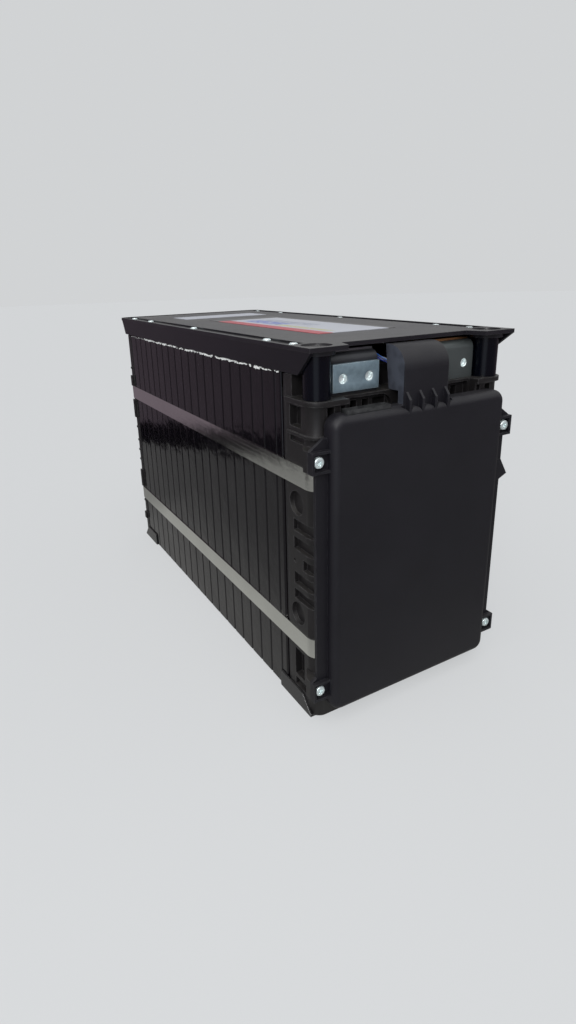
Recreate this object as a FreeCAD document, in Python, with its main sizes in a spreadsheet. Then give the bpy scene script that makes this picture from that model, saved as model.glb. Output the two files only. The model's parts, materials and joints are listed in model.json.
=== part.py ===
"""Lithium-ion traction module: a stack of pouch cells and heat-spreading fins, clamped between two
ribbed end plates by two steel bands, under a skirted lid and behind a moulded front cover.

Frame: X to the right seen from the front, front at -Y, Z up. The origin is under the middle of the
whole length, on the plane that the four corner feet stand on. All sizes are in millimetres.
"""
import FreeCAD, Part
import math
import os
import Sketcher

V = FreeCAD.Vector

# Driving sizes. Heights named ..._height or ..._level are above the bottom edge of the fins.
SIZES = {
    # Fins, cells and pads
    "fin_count": 19,            # full-width fins behind the narrow first one
    "fin_gauge": 1.0,
    "fin_bend": 1.8,            # outside radius of each fold
    "fin_slit": 1.1,            # dark gap between two flanges
    "fin_height": 257.0,
    "web_height": 240.0,
    "stack_width": 170.0,
    "cell_width": 160.0,
    "cell_height": 227.0,
    "cell_thick": 7.25,
    "cell_level": 8.0,
    "cell_margin": 7.0,         # width of the sealed edge round a pouch
    "cell_seam": 0.8,           # thickness of the sealed edge
    "group_cells": 3,           # cells joined in parallel
    "tab_width": 42.0,
    "tab_gauge": 0.6,
    "tab_offset": 41.0,
    "pad_gauge": 2.5,
    "pad_inset": 3.0,
    "sheet_gauge": 3.5,
    "sheet_inset": 0.6,
    # End plates
    "front_plate_depth": 34.25,
    "rear_plate_depth": 16.0,
    "corner_radius": 9.0,
    "plate_wall": 3.0,
    "rib_gauge": 2.6,
    "ledge_level": 242.2,
    "ledge_gauge": 3.4,
    "ledge_lip": 2.5,
    "collar_level": 219.0,
    "collar_gauge": 2.2,
    "collar_lip": 1.2,
    "shoulder_depth": 8.5,
    "bay_setback": 6.0,         # front of the ledge between the towers, behind the end plate's front
    "bay_outer": 58.5,
    "bay_inner": 16.0,
    "bay_depth": 4.0,
    "bay_level": 222.0,
    "bay_round": 9.0,
    "rim_gauge": 2.0,
    "window_bottom_level": 223.0,
    "window_top_level": 237.5,
    "side_flat": 7.0,           # width of the rear plate's flat side face
    # Mounting bores and posts
    "bore_radius": 4.5,
    "post_radius": 9.2,
    "post_spigot": 6.5,
    "spigot_depth": 5.0,
    "post_top_level": 271.0,
    # Bands
    "band_width": 15.0,
    "band_gauge": 0.8,
    "lower_band_level": 51.3,
    "upper_band_level": 181.5,
    "clip_gauge": 1.2,
    "clip_length": 32.0,
    # Feet
    "foot_gauge": 1.5,
    "foot_rise": 12.5,
    "foot_slope": 12.0,
    "front_foot_reach": 30.0,   # forward from the stack end of the front plate
    "front_foot_overlap": 15.0,
    "rear_foot_reach": 12.0,
    "rear_foot_overlap": 30.0,
    "foot_inner": 52.0,
    # Lid
    "lid_width": 180.0,
    "lid_level": 276.8,
    "lid_wall": 3.0,
    "lid_skirt": 2.4,
    "lid_skirt_level": 258.0,
    "lid_draft": 3.0,
    "lid_ear_reach": 4.8,
    "lid_ear_width": 29.0,
    "lid_ear_depth": 15.0,
    "lid_corner": 5.0,
    "lid_rim": 13.6,
    "lid_edge": 1.6,
    "lid_channel_depth": 1.6,
    "lid_channel_front": 22.0,
    "ear_recess_radius": 10.2,
    "ear_recess_depth": 1.6,
    "ear_boss_radius": 12.0,
    "skirt_front_set": 19.5,    # how far the skirt's lower front corner lies behind its upper one
    "bead_width": 1.2,
    # Lid screws and labels
    "lid_screw_inset": 9.8,
    "lid_screw_head": 3.2,
    "lid_screw_dome": 1.6,
    "lid_screw_shank": 1.5,
    "lid_screw_length": 10.0,
    "label_gauge": 0.3,
    "label_width": 73.0,
    "label_length": 202.0,
    "label_front": 66.0,
    "strip_label_width": 97.0,
    "strip_label_length": 40.0,
    "strip_label_front": 303.0,
    "dome_share": 0.6,          # how much of a screw head's height is bevelled
    # Front cover
    "cover_reach": 13.3,
    "cover_width": 155.2,
    "cover_bottom_level": 10.0,
    "cover_top_level": 234.0,
    "cover_wall": 2.5,
    "cover_gap": 1.5,
    "cover_clearance": 0.4,
    "cover_corner": 9.0,
    "cover_edge": 6.0,
    "flange_gauge": 2.5,
    "flange_seat": 3.0,         # plane that the flange and the ears meet on, before the end plate
    "flange_width": 174.0,
    "lug_width": 182.6,
    "lug_half_height": 7.5,
    "lug_wall": 1.8,
    "lug_depth": 3.2,
    "upper_lug_level": 204.5,
    "lower_lug_level": 30.0,
    "hook_level": 165.0,        # tip of the small hook on the right flange
    "hook_rise": 13.0,
    "hook_drop": 6.0,
    "cover_screw_offset": 85.2,
    "cover_screw_head": 4.0,
    "cover_screw_dome": 2.6,
    "cover_screw_shank": 2.0,
    "cover_screw_length": 12.0,
    "hood_offset": 1.6,
    "hood_width": 39.4,
    "hood_setback": 4.2,
    "hood_back_set": 20.5,
    "hood_lean": 4.0,
    "hood_top_level": 273.0,
    "hood_wall": 2.2,
    "hood_round": 16.0,
    "gusset_count": 4,
    "gusset_pitch": 11.5,
    "gusset_gauge": 1.8,
    "gusset_level": 242.5,
    "gusset_bend_level": 237.5,
    "dome_level": 232.4,        # crown of the half rounds between the gussets
    # Terminals
    "terminal_offset": 45.4,
    "terminal_width": 39.0,
    "terminal_gauge": 2.5,
    "terminal_setback": 10.5,   # front face of the terminals behind the front of the end plate
    "terminal_top_level": 270.0,
    "terminal_bend": 6.0,
    "terminal_leg": 24.0,
    "contact_gauge": 3.0,
    "contact_width": 38.0,
    "contact_rise": 2.2,
    "contact_height": 18.8,
    "stud_spacing": 21.6,
    "stud_level": 253.2,
    "stud_radius": 3.4,
    "stud_depth": 10.0,
    # Parts under the lid
    "link_level": 258.0,
    "link_gauge": 1.0,
    "link_inner": 13.0,
    "link_outer": 63.0,
    "board_gauge": 1.6,
    "sense_board_width": 34.0,
    "rail_width": 5.5,
    "rail_height": 6.0,
    "rail_clearance": 0.5,
    "boss_radius": 3.2,
    "spine_height": 4.0,
    "bar_every": 3,
    # Monitoring board and its connector
    "monitor_width": 138.0,
    "monitor_bottom_level": 26.0,
    "monitor_height": 188.0,
    "monitor_standoff": 3.4,
    "stud_pin_radius": 1.8,
    "plug_offset": -47.5,
    "plug_width": 35.0,
    "plug_depth": 7.0,
    "plug_setback": 3.4,
    "plug_height": 22.6,        # above the board's top edge
    "plug_wall": 1.3,
    "plug_cavity": 9.0,
    "plug_slot_gap": 0.4,
    "pin_count": 10,
    "pin_width": 1.0,
    "pin_height": 3.6,
    "stud_inset": 7.0,
    # Lead between the two boards
    "lead_radius": 1.6,
    "lead_bend": 0.45,          # share of the shorter run that a bend takes up
    "lead_offset": -8.0,
    "header_half": 6.0,
    "header_rise": 14.0,
    "header_inset": 4.5,
    "header_depth": 4.2,
    "sense_header_setback": 40.2,
    "sense_header_offset": -9.5,
    "sense_header_half": 3.0,
    "sense_header_rise": 9.0,
    "end_link_gauge": 1.5,
    "return_bar_outer": 76.0,
    "return_bar_width": 10.0,
    "spine_half": 15.0,
}

# Positions worked out from the driving sizes. Each may use the ones before it.
PLACES = {
    "half_width": "{stack_width} / 2",
    "fin_pitch": "{fin_gauge} + 2 * {cell_thick} + {pad_gauge}",
    "stack_length": "{fin_gauge} + {cell_thick} + {fin_count} * {fin_pitch}",
    "band_stack": "{band_gauge} + {clip_gauge}",
    "overall_length": "{cover_reach} + {front_plate_depth} + 2 * {sheet_gauge} + {pad_gauge}"
                      " + {stack_length} + {rear_plate_depth} + {band_stack}",
    "y_cover": "-{overall_length} / 2",
    "y_front": "{y_cover} + {cover_reach}",
    "y_front_sheet": "{y_front} + {front_plate_depth}",
    "y_front_pad": "{y_front_sheet} + {sheet_gauge}",
    "y_stack": "{y_front_pad} + {pad_gauge}",
    "y_fins": "{y_stack} + {fin_gauge} + {cell_thick}",
    "y_rear_sheet": "{y_stack} + {stack_length}",
    "y_rear_plate": "{y_rear_sheet} + {sheet_gauge}",
    "y_rear": "{y_rear_plate} + {rear_plate_depth}",
    "z_stack": "{foot_gauge}",
    "z_web": "{z_stack} + {web_height}",
    "z_fin_top": "{z_stack} + {fin_height}",
    "z_ledge": "{z_stack} + {ledge_level}",
    "z_post_top": "{z_stack} + {post_top_level}",
    "z_lid": "{z_stack} + {lid_level}",
    "z_lid_under": "{z_lid} - {lid_wall}",
    "z_skirt": "{z_stack} + {lid_skirt_level}",
    "z_link": "{z_stack} + {link_level}",
    "z_stud": "{z_stack} + {stud_level}",
    "x_bore": "{half_width} - {corner_radius}",
    "y_front_bore": "{y_front} + {corner_radius}",
    "y_rear_bore": "{y_rear} - {corner_radius}",
    "y_ear": "{y_front} - {lid_ear_reach}",
    "y_lid_front": "{y_ear} + {lid_ear_depth}",
    "x_lid": "{lid_width} / 2",
    "x_lid_screw": "{x_lid} - {lid_screw_inset}",
    "y_seat": "{y_front} - {flange_seat}",
    "y_flange": "{y_seat} - {flange_gauge}",
    "y_cover_back": "{y_front} - {cover_gap}",
    "z_cover_bottom": "{z_stack} + {cover_bottom_level}",
    "z_cover_top": "{z_stack} + {cover_top_level}",
    "y_terminal": "{y_front} + {terminal_setback}",
    "y_hood": "{y_cover} + {hood_setback}",
    "y_hood_back": "{y_cover} + {hood_back_set}",
    "y_board": "{y_front} - {monitor_standoff}",
}

# Lid screws, each as its distance behind the front of the end plate.
LID_SCREW_SETBACKS = (30.0, 66.5, 203.5, 325.5, 384.5)

doc = FreeCAD.newDocument("BatteryModule")


def fill_sheet(name, cells):
    """Make a sheet with one aliased cell per entry, in column A."""
    sheet = doc.addObject("Spreadsheet::Sheet", name)
    for row, (alias, content) in enumerate(cells.items(), start=1):
        sheet.set(f"A{row}", content)
        sheet.setAlias(f"A{row}", alias)
    return sheet


class Prefixes(dict):
    """Turns a size's or a place's name into a reference to its cell."""

    def __missing__(self, name):
        owner = "Sizes" if name in SIZES else "Places"
        if name not in SIZES and name not in PLACES:
            raise KeyError(name)
        return f"{owner}.{name}"


def bind(text):
    """Write out an expression: each {name} becomes the cell of that name."""
    return text.format_map(Prefixes())


sizes = fill_sheet("Sizes", {name: str(number) for name, number in SIZES.items()})
doc.recompute()
places = fill_sheet("Places", {name: "=" + bind(text) for name, text in PLACES.items()})
doc.recompute()


def value(text):
    """The number that an expression gives now."""
    return float(sizes.evalExpression(bind(text)))


def count(text):
    """The whole number that an expression gives now."""
    return int(round(value(text)))


def new_body(label):
    """A body that becomes the piece of this name."""
    body = doc.addObject("PartDesign::Body", "Body_" + label)
    body.Label = label
    body.AllowCompound = True
    return body


def new_sketch(body, name, plane, level="0"):
    """A sketch parallel to one of the body's origin planes.

    XY looks down, with level as its height. XZ has X to the right and Z up, with level as its Y.
    YZ has Y to the right and Z up, with level as its X.
    """
    sketch = body.newObject("Sketcher::SketchObject", name)
    origin = [f for f in body.Origin.OriginFeatures if f.Role == plane + "_Plane"][0]
    sketch.AttachmentSupport = [(origin, "")]
    sketch.MapMode = "FlatFace"
    sign = "-" if plane == "XZ" else ""
    sketch.setExpression("AttachmentOffset.Base.z", bind(f"{sign}({level})"))
    return sketch


def hold(sketch, constraints, expressions):
    """Add constraints to a sketch and drive those that have an expression by it."""
    for index, text in zip(sketch.addConstraint(constraints), expressions):
        if text:
            sketch.setExpression(f"Constraints[{index}]", bind(text))


def draw_polygon(sketch, points):
    """A closed outline with straight sides, each corner fixed by two expressions."""
    first = sketch.GeometryCount
    total = len(points)
    corners = [(value(across), value(up)) for across, up in points]
    sketch.addGeometry([Part.LineSegment(V(*corners[step], 0), V(*corners[(step + 1) % total], 0))
                        for step in range(total)], False)
    constraints, expressions = [], []
    for step, (across, up) in enumerate(corners):
        side, after = first + step, first + (step + 1) % total
        constraints += [Sketcher.Constraint("Coincident", side, 2, after, 1),
                        Sketcher.Constraint("DistanceX", -1, 1, side, 1, across),
                        Sketcher.Constraint("DistanceY", -1, 1, side, 1, up)]
        expressions += ["", *points[step]]
    hold(sketch, constraints, expressions)


def draw_box(sketch, left, right, bottom, top):
    """A rectangle from its four sides."""
    draw_polygon(sketch, [(left, bottom), (right, bottom), (right, top), (left, top)])


def draw_circle(sketch, across, up, radius):
    """A circle fixed at its centre."""
    element = sketch.addGeometry(
        Part.Circle(V(value(across), value(up), 0), V(0, 0, 1), value(radius)), False)
    hold(sketch, [Sketcher.Constraint("DistanceX", -1, 1, element, 3, value(across)),
                  Sketcher.Constraint("DistanceY", -1, 1, element, 3, value(up)),
                  Sketcher.Constraint("Radius", element, value(radius))], [across, up, radius])


def pad(body, sketch, length, back=False, middle=False):
    """Raise a sketch along its normal, against it with back, or half each way with middle."""
    feature = body.newObject("PartDesign::Pad", sketch.Name + "Pad")
    feature.Profile = sketch
    feature.setExpression("Length", bind(length))
    feature.Reversed = back
    feature.Midplane = middle
    feature.Refine = False
    doc.recompute([body])
    return feature


def pocket(body, sketch, depth, back=False, middle=False):
    """Cut a sketch against its normal, or along it with back, and test that it removed something."""
    before = body.Shape.Volume
    feature = body.newObject("PartDesign::Pocket", sketch.Name + "Pocket")
    feature.Profile = sketch
    feature.setExpression("Length", bind(depth))
    feature.Reversed = back
    feature.Midplane = middle
    feature.Refine = False
    doc.recompute([body])
    if body.Shape.Volume > before - 1e-3:
        raise RuntimeError(f"{sketch.Name} cuts nothing from {body.Label}")
    return feature


def soften(body, kind, name, size, chosen):
    """Round (Fillet) or bevel (Chamfer) the edges that the test picks out."""
    base = body.Tip
    edges = [f"Edge{number}" for number, edge in enumerate(base.Shape.Edges, start=1) if chosen(edge)]
    if not edges:
        raise RuntimeError(f"{name} finds no edge on {body.Label}")
    feature = body.newObject("PartDesign::" + kind, name)
    feature.Base = (base, edges)
    feature.setExpression("Radius" if kind == "Fillet" else "Size", bind(size))
    doc.recompute([body])
    if "Invalid" in feature.State:
        raise RuntimeError(f"{name} fails on {body.Label}")
    return feature


NEAR = 0.02


def along(edge, axis):
    """True for a straight edge that runs along this axis: 0 for X, 1 for Y, 2 for Z."""
    ends = [vertex.Point for vertex in edge.Vertexes]
    if len(ends) != 2 or edge.Curve.TypeId != "Part::GeomLine":
        return False
    step = ends[1] - ends[0]
    return abs(abs(step[axis]) - step.Length) < NEAR


def at(edge, **wanted):
    """True if the middle of an edge's box has these coordinates; ax means X without its sign."""
    centre = edge.BoundBox.Center
    found = {"x": centre.x, "y": centre.y, "z": centre.z, "ax": abs(centre.x)}
    return all(abs(found[name] - number) < NEAR for name, number in wanted.items())


def place_copy(label, original, step):
    """Another piece of the original's shape, moved along Y by an expression."""
    copy = doc.addObject("App::Link", "Copy_" + label)
    copy.Label = label
    copy.LinkedObject = original
    copy.setExpression("Placement.Base.y", bind(step))
    return copy


# The cell stack

def build_fin(label, front, flange):
    """A folded heat-spreader fin: a web across the stack with a flange down each side of it."""
    body = new_body(label)
    outline = new_sketch(body, label + "_channel", "XY", "{z_stack}")
    inner = "({half_width} - {fin_gauge})"
    draw_polygon(outline, [
        ("-{half_width}", front), ("{half_width}", front),
        ("{half_width}", f"{front} + {flange}"), (inner, f"{front} + {flange}"),
        (inner, f"{front} + {{fin_gauge}}"), ("-" + inner, f"{front} + {{fin_gauge}}"),
        ("-" + inner, f"{front} + {flange}"), ("-{half_width}", f"{front} + {flange}")])
    pad(body, outline, "{fin_height}")
    window = new_sketch(body, label + "_window", "XZ", front)
    draw_box(window, "-" + inner, inner, "{z_web}", "{z_fin_top} + {fin_gauge}")
    pocket(body, window, "{fin_gauge}")
    edge_y = value(front)
    soften(body, "Fillet", label + "_fold", "{fin_bend}",
           lambda edge: along(edge, 2) and at(edge, ax=value("{half_width}"), y=edge_y))
    return body


def build_fins():
    """The narrow first fin and the full-width ones behind it."""
    narrow = build_fin("fin_01", "{y_stack}", "({fin_gauge} + {cell_thick} - {fin_slit})")
    wide = build_fin("fin_02", "{y_fins}", "({fin_pitch} - {fin_slit})")
    return [narrow, wide] + [place_copy(f"fin_{turn + 2:02d}", wide, f"{turn} * {{fin_pitch}}")
                             for turn in range(1, count("{fin_count}"))]


def cell_front(number):
    """Where the front face of a cell lies, counted from the front of the stack."""
    if number == 0:
        return "({y_stack} + {fin_gauge})"
    turn, second = divmod(number - 1, 2)
    step = " + {cell_thick} + {pad_gauge}" if second else ""
    return f"({{y_fins}} + {turn} * {{fin_pitch}} + {{fin_gauge}}{step})"


def build_cell():
    """The frontmost pouch cell: the filled pouch, its sealed edge and two tabs on top."""
    name = "pouch_cell"
    body = new_body(name)
    front = cell_front(0)
    base = "{z_stack} + {cell_level}"
    half = "({cell_width} / 2)"
    pouch = new_sketch(body, name + "_pouch", "XZ", front)
    draw_box(pouch, f"{{cell_margin}} - {half}", f"{half} - {{cell_margin}}",
             f"{base} + {{cell_margin}}", f"{base} + {{cell_height}} - {{cell_margin}}")
    pad(body, pouch, "{cell_thick}", back=True)
    middle = f"({front} + {{cell_thick}} / 2)"
    seam = new_sketch(body, name + "_seam", "XZ", middle)
    draw_box(seam, "-" + half, half, base, f"{base} + {{cell_height}}")
    pad(body, seam, "{cell_seam}", middle=True)
    tabs = new_sketch(body, name + "_tabs", "XZ", middle)
    for sign in ("-", ""):
        centre = f"{sign}{{tab_offset}}"
        draw_box(tabs, f"{centre} - {{tab_width}} / 2", f"{centre} + {{tab_width}} / 2",
                 f"{base} + {{cell_height}} - {{cell_margin}} / 2", "{z_link}")
    pad(body, tabs, "{tab_gauge}", middle=True)
    return body


def build_cell_groups():
    """The cells, in the groups that are joined in parallel."""
    total = 2 * count("{fin_count}") + 1
    size = count("{group_cells}")
    cell = build_cell()
    copies = [place_copy(f"cell_{number + 1:02d}", cell, f"{cell_front(number)} - {cell_front(0)}")
              for number in range(total)]
    groups = []
    for first in range(0, total, size):
        group = doc.addObject("Part::Compound", f"Group_{first // size + 1:02d}")
        group.Label = f"cell_group_{first // size + 1:02d}"
        group.Links = copies[first:first + size]
        groups.append(group)
    return groups


def build_compression_pads():
    """Foam pads between the cells, and one at the front end of the stack."""
    body = new_body("compression_pads")
    half = "({cell_width} / 2 - {pad_inset})"
    low = "{z_stack} + {cell_level} + {pad_inset}"
    high = "{z_stack} + {cell_level} + {cell_height} - {pad_inset}"
    end = new_sketch(body, "EndPad", "XZ", "{y_front_pad}")
    draw_box(end, "-" + half, half, low, high)
    pad(body, end, "{pad_gauge}", back=True)
    for turn in range(count("{fin_count}")):
        face = new_sketch(body, f"Pad{turn + 1:02d}", "XZ",
                          f"{{y_fins}} + {turn} * {{fin_pitch}} + {{fin_gauge}} + {{cell_thick}}")
        draw_box(face, "-" + half, half, low, high)
        pad(body, face, "{pad_gauge}", back=True)
    return body


def build_pressure_sheets():
    """The two stiff sheets that spread the end plates' push over the stack."""
    body = new_body("pressure_sheets")
    for name, level in (("FrontSheet", "{y_front_sheet}"), ("RearSheet", "{y_rear_sheet}")):
        face = new_sketch(body, name, "XZ", level)
        draw_box(face, "{sheet_inset} - {half_width}", "{half_width} - {sheet_inset}",
                 "{z_stack} + {sheet_inset}", "{z_fin_top} - {sheet_inset}")
        pad(body, face, "{sheet_gauge}", back=True)
    return body


# The end plates

# Recesses in each side face of the front plate, by depth. A box is its start and end, measured from
# the stack end of the plate, then its lower and upper level; a round is its distance from the stack
# end, its level and its radius.
SIDE_BOXES = {
    6.0: ((5.5, 20.0, 222.5, 237.0), (7.0, 20.0, 24.0, 47.5)),
    3.5: ((8.0, 31.0, 146.0, 155.0), (8.0, 31.0, 131.5, 141.0), (20.0, 31.0, 118.0, 126.5),
          (8.0, 31.0, 103.5, 113.0), (8.0, 31.0, 91.0, 99.0), (7.0, 26.0, 14.0, 21.0)),
    2.0: ((5.5, 24.0, 212.0, 216.5),),
}
SIDE_ROUNDS = {
    3.5: ((12.3, 167.5, 9.0), (12.3, 79.5, 9.0), (9.0, 122.0, 1.6)),
    12.0: ((15.5, 229.5, 2.4),),
}
# Slots under the ledge: centre from the middle, half width. Two are in each tower, three in each bay.
FRONT_WINDOWS = ((71.2, 2.8), (61.7, 1.7), (46.0, 2.6), (36.0, 2.8), (24.5, 5.5))


def cut_sides(body):
    """Cut the boxes and rounds into both side faces of the front end plate."""
    for sign, side in (("-", "Left"), ("", "Right")):
        for depth in sorted({*SIDE_BOXES, *SIDE_ROUNDS}):
            sketch = new_sketch(body, f"{side}Recesses{depth:.0f}", "YZ", f"{sign}{{half_width}}")
            for start, end, low, high in SIDE_BOXES.get(depth, ()):
                draw_box(sketch, f"{{y_front_sheet}} - {end}", f"{{y_front_sheet}} - {start}",
                         f"{{z_stack}} + {low}", f"{{z_stack}} + {high}")
            for start, level, radius in SIDE_ROUNDS.get(depth, ()):
                draw_circle(sketch, f"{{y_front_sheet}} - {start}", f"{{z_stack}} + {level}",
                            str(radius))
            pocket(body, sketch, str(depth), back=sign == "-")


def draw_arc(sketch, across, up, radius, quarters):
    """An arc round a fixed centre, from its start quarter to its end quarter, each 90 degrees.

    A tangent line can begin at each end, because the ends lie level with the centre or above it.
    """
    start, end = quarters
    circle = Part.Circle(V(value(across), value(up), 0), V(0, 0, 1), value(radius))
    element = sketch.addGeometry(
        Part.ArcOfCircle(circle, start * math.pi / 2, end * math.pi / 2), False)
    kinds = ["Horizontal" if quarter % 2 == 0 else "Vertical" for quarter in quarters]
    hold(sketch, [Sketcher.Constraint("DistanceX", -1, 1, element, 3, value(across)),
                  Sketcher.Constraint("DistanceY", -1, 1, element, 3, value(up)),
                  Sketcher.Constraint("Radius", element, value(radius)),
                  Sketcher.Constraint(kinds[0], element, 3, element, 1),
                  Sketcher.Constraint(kinds[1], element, 3, element, 2)],
         [across, up, radius, "", ""])
    return element


def draw_line(sketch, start, end):
    """A line between the ends of other elements, each given as the element and which end."""
    ends = [sketch.getPoint(*point) for point in (start, end)]
    element = sketch.addGeometry(Part.LineSegment(*ends), False)
    hold(sketch, [Sketcher.Constraint("Coincident", element, 1, *start),
                  Sketcher.Constraint("Coincident", element, 2, *end)], ["", ""])
    return element


def cut_lattice(body, name, level, depth, zones, columns, back=False):
    """Cut the rectangular cells between an end plate's ribs, one row for each pair of levels."""
    half_span = "({x_bore} - {corner_radius} + {plate_wall})"
    pitch = f"(2 * {half_span} + {{rib_gauge}}) / {columns}"
    for number, (low, high) in enumerate(zones, start=1):
        row = new_sketch(body, f"{name}{number}", "XZ", level)
        for column in range(columns):
            left = f"-{half_span} + {column} * {pitch}"
            draw_box(row, left, f"{left} + {pitch} - {{rib_gauge}}",
                     f"{{z_stack}} + {low}", f"{{z_stack}} + {high}")
        pocket(body, row, depth, back)


# Lower and upper level of each row of cells between the front plate's ribs. Bands, studs and ears
# bear on the full strips left between them.
FRONT_ZONES = ((6, 24), (40, 48), (74, 102), (106, 140), (144, 174))


def build_front_end_plate():
    """The deep end plate: ribbed block, ledges, terminal towers and ears for the cover's screws."""
    body = new_body("front_end_plate")
    block = new_sketch(body, "FrontBlock", "XY", "{z_stack}")
    draw_box(block, "-{half_width}", "{half_width}", "{y_front}", "{y_front_sheet}")
    pad(body, block, "{ledge_level} - {ledge_gauge}")
    soften(body, "Fillet", "FrontCorners", "{corner_radius}",
           lambda edge: along(edge, 2) and at(edge, ax=value("{half_width}"), y=value("{y_front}")))

    for name, top, gauge, lip in (("FrontLedge", "{ledge_level}", "{ledge_gauge}", "{ledge_lip}"),
                                  ("FrontCollar", "{collar_level}", "{collar_gauge}", "{collar_lip}")):
        ledge = new_sketch(body, name, "XY", f"{{z_stack}} + {top} - {gauge}")
        draw_box(ledge, f"-{{half_width}} - {lip}", f"{{half_width}} + {lip}",
                 f"{{y_front}} - {lip}", "{y_front_sheet} - {plate_wall}")
        pad(body, ledge, gauge)
        soften(body, "Fillet", name + "Corners", f"{{corner_radius}} + {lip}",
               lambda edge, lip=lip: along(edge, 2) and at(
                   edge, ax=value(f"{{half_width}} + {lip}"), y=value(f"{{y_front}} - {lip}")))

    recess = new_sketch(body, "TerminalBay", "XZ", "{y_front} - {ledge_lip}")
    draw_box(recess, "-{bay_outer}", "{bay_outer}", "{z_stack} + {bay_level}",
             "{z_ledge} + {rim_gauge}")
    pocket(body, recess, "{ledge_lip} + {bay_setback}")
    bays = new_sketch(body, "BayHollows", "XZ", "{y_front} + {bay_setback}")
    for sign in (-1, 1):
        draw_bay(bays, sign)
    pocket(body, bays, "{bay_depth}")
    windows = new_sketch(body, "Windows", "XZ", "{y_front}")
    for sign in ("-", ""):
        for centre, half in FRONT_WINDOWS:
            draw_box(windows, f"{sign}{centre} - {half}", f"{sign}{centre} + {half}",
                     "{z_stack} + {window_bottom_level}", "{z_stack} + {window_top_level}")
    pocket(body, windows, "{front_plate_depth} / 2")

    shoulder = new_sketch(body, "Shoulder", "XY", "{z_ledge}")
    draw_box(shoulder, "-{half_width}", "{half_width}",
             "{y_front_sheet} - {shoulder_depth}", "{y_front_sheet}")
    pad(body, shoulder, "{fin_height} - {ledge_level}")
    towers = new_sketch(body, "Towers", "XY", "{z_ledge}")
    for sign in ("-", ""):
        centre = f"{sign}{{terminal_offset}}"
        draw_box(towers, f"{centre} - {{terminal_width}} / 2 + {{plate_wall}}",
                 f"{centre} + {{terminal_width}} / 2 - {{plate_wall}}",
                 "{y_terminal} + {terminal_gauge}", "{y_front_sheet} - {shoulder_depth}")
    pad(body, towers, "{terminal_top_level} - {terminal_bend} - {ledge_level}")

    for name, level in (("LowerEars", "{lower_lug_level}"), ("UpperEars", "{upper_lug_level}")):
        ears = new_sketch(body, name, "XY", f"{{z_stack}} + {level} - {{lug_half_height}}")
        draw_ears(ears)
        pad(body, ears, "2 * {lug_half_height}")

    bores = new_sketch(body, "FrontBores", "XY", "{z_ledge}")
    seats = new_sketch(body, "PostSeats", "XY", "{z_ledge}")
    for sign in ("-", ""):
        draw_circle(bores, f"{sign}{{x_bore}}", "{y_front_bore}", "{bore_radius}")
        draw_circle(seats, f"{sign}{{x_bore}}", "{y_front_bore}", "{post_spigot}")
    pocket(body, bores, "{ledge_level}")
    pocket(body, seats, "{spigot_depth}")

    cut_sides(body)

    screws = new_sketch(body, "EarHoles", "XZ", "{y_seat}")
    studs = new_sketch(body, "BoardStuds", "XZ", "{y_front}")
    for sign in ("-", ""):
        for level in ("{lower_lug_level}", "{upper_lug_level}"):
            draw_circle(screws, f"{sign}{{cover_screw_offset}}", f"{{z_stack}} + {level}",
                        "{cover_screw_shank}")
    pins = new_sketch(body, "BoardPins", "XZ", "{y_board}")
    for across, up in board_stud_places():
        draw_circle(studs, across, up, "{stud_pin_radius} + {rib_gauge}")
        draw_circle(pins, across, up, "{stud_pin_radius}")
    pocket(body, screws, "{cover_screw_length} - {flange_gauge}")
    pad(body, studs, "{monitor_standoff}")
    pad(body, pins, "{board_gauge}")
    bosses = new_sketch(body, "FrontLidBosses", "XY", "{z_fin_top}")
    boss_holes = new_sketch(body, "FrontLidBossHoles", "XY", "{z_lid_under}")
    for across, along_pack in lid_screw_places():
        if value(along_pack) < value("{y_front_sheet}"):
            draw_circle(bosses, across, along_pack, "{boss_radius}")
            draw_circle(boss_holes, across, along_pack, "{lid_screw_shank}")
    pad(body, bosses, "{lid_level} - {lid_wall} - {fin_height}")
    pocket(body, boss_holes, "{lid_screw_length} + {lid_channel_depth} - {lid_wall}")

    taps = new_sketch(body, "TerminalTaps", "XZ", "{y_terminal} + {terminal_gauge}")
    draw_stud_holes(taps)
    pocket(body, taps, "{stud_depth}")

    cut_lattice(body, "FrontCells", "{y_front}", "{front_plate_depth} - 2 * {plate_wall}",
                FRONT_ZONES, 5)
    return body


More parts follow.
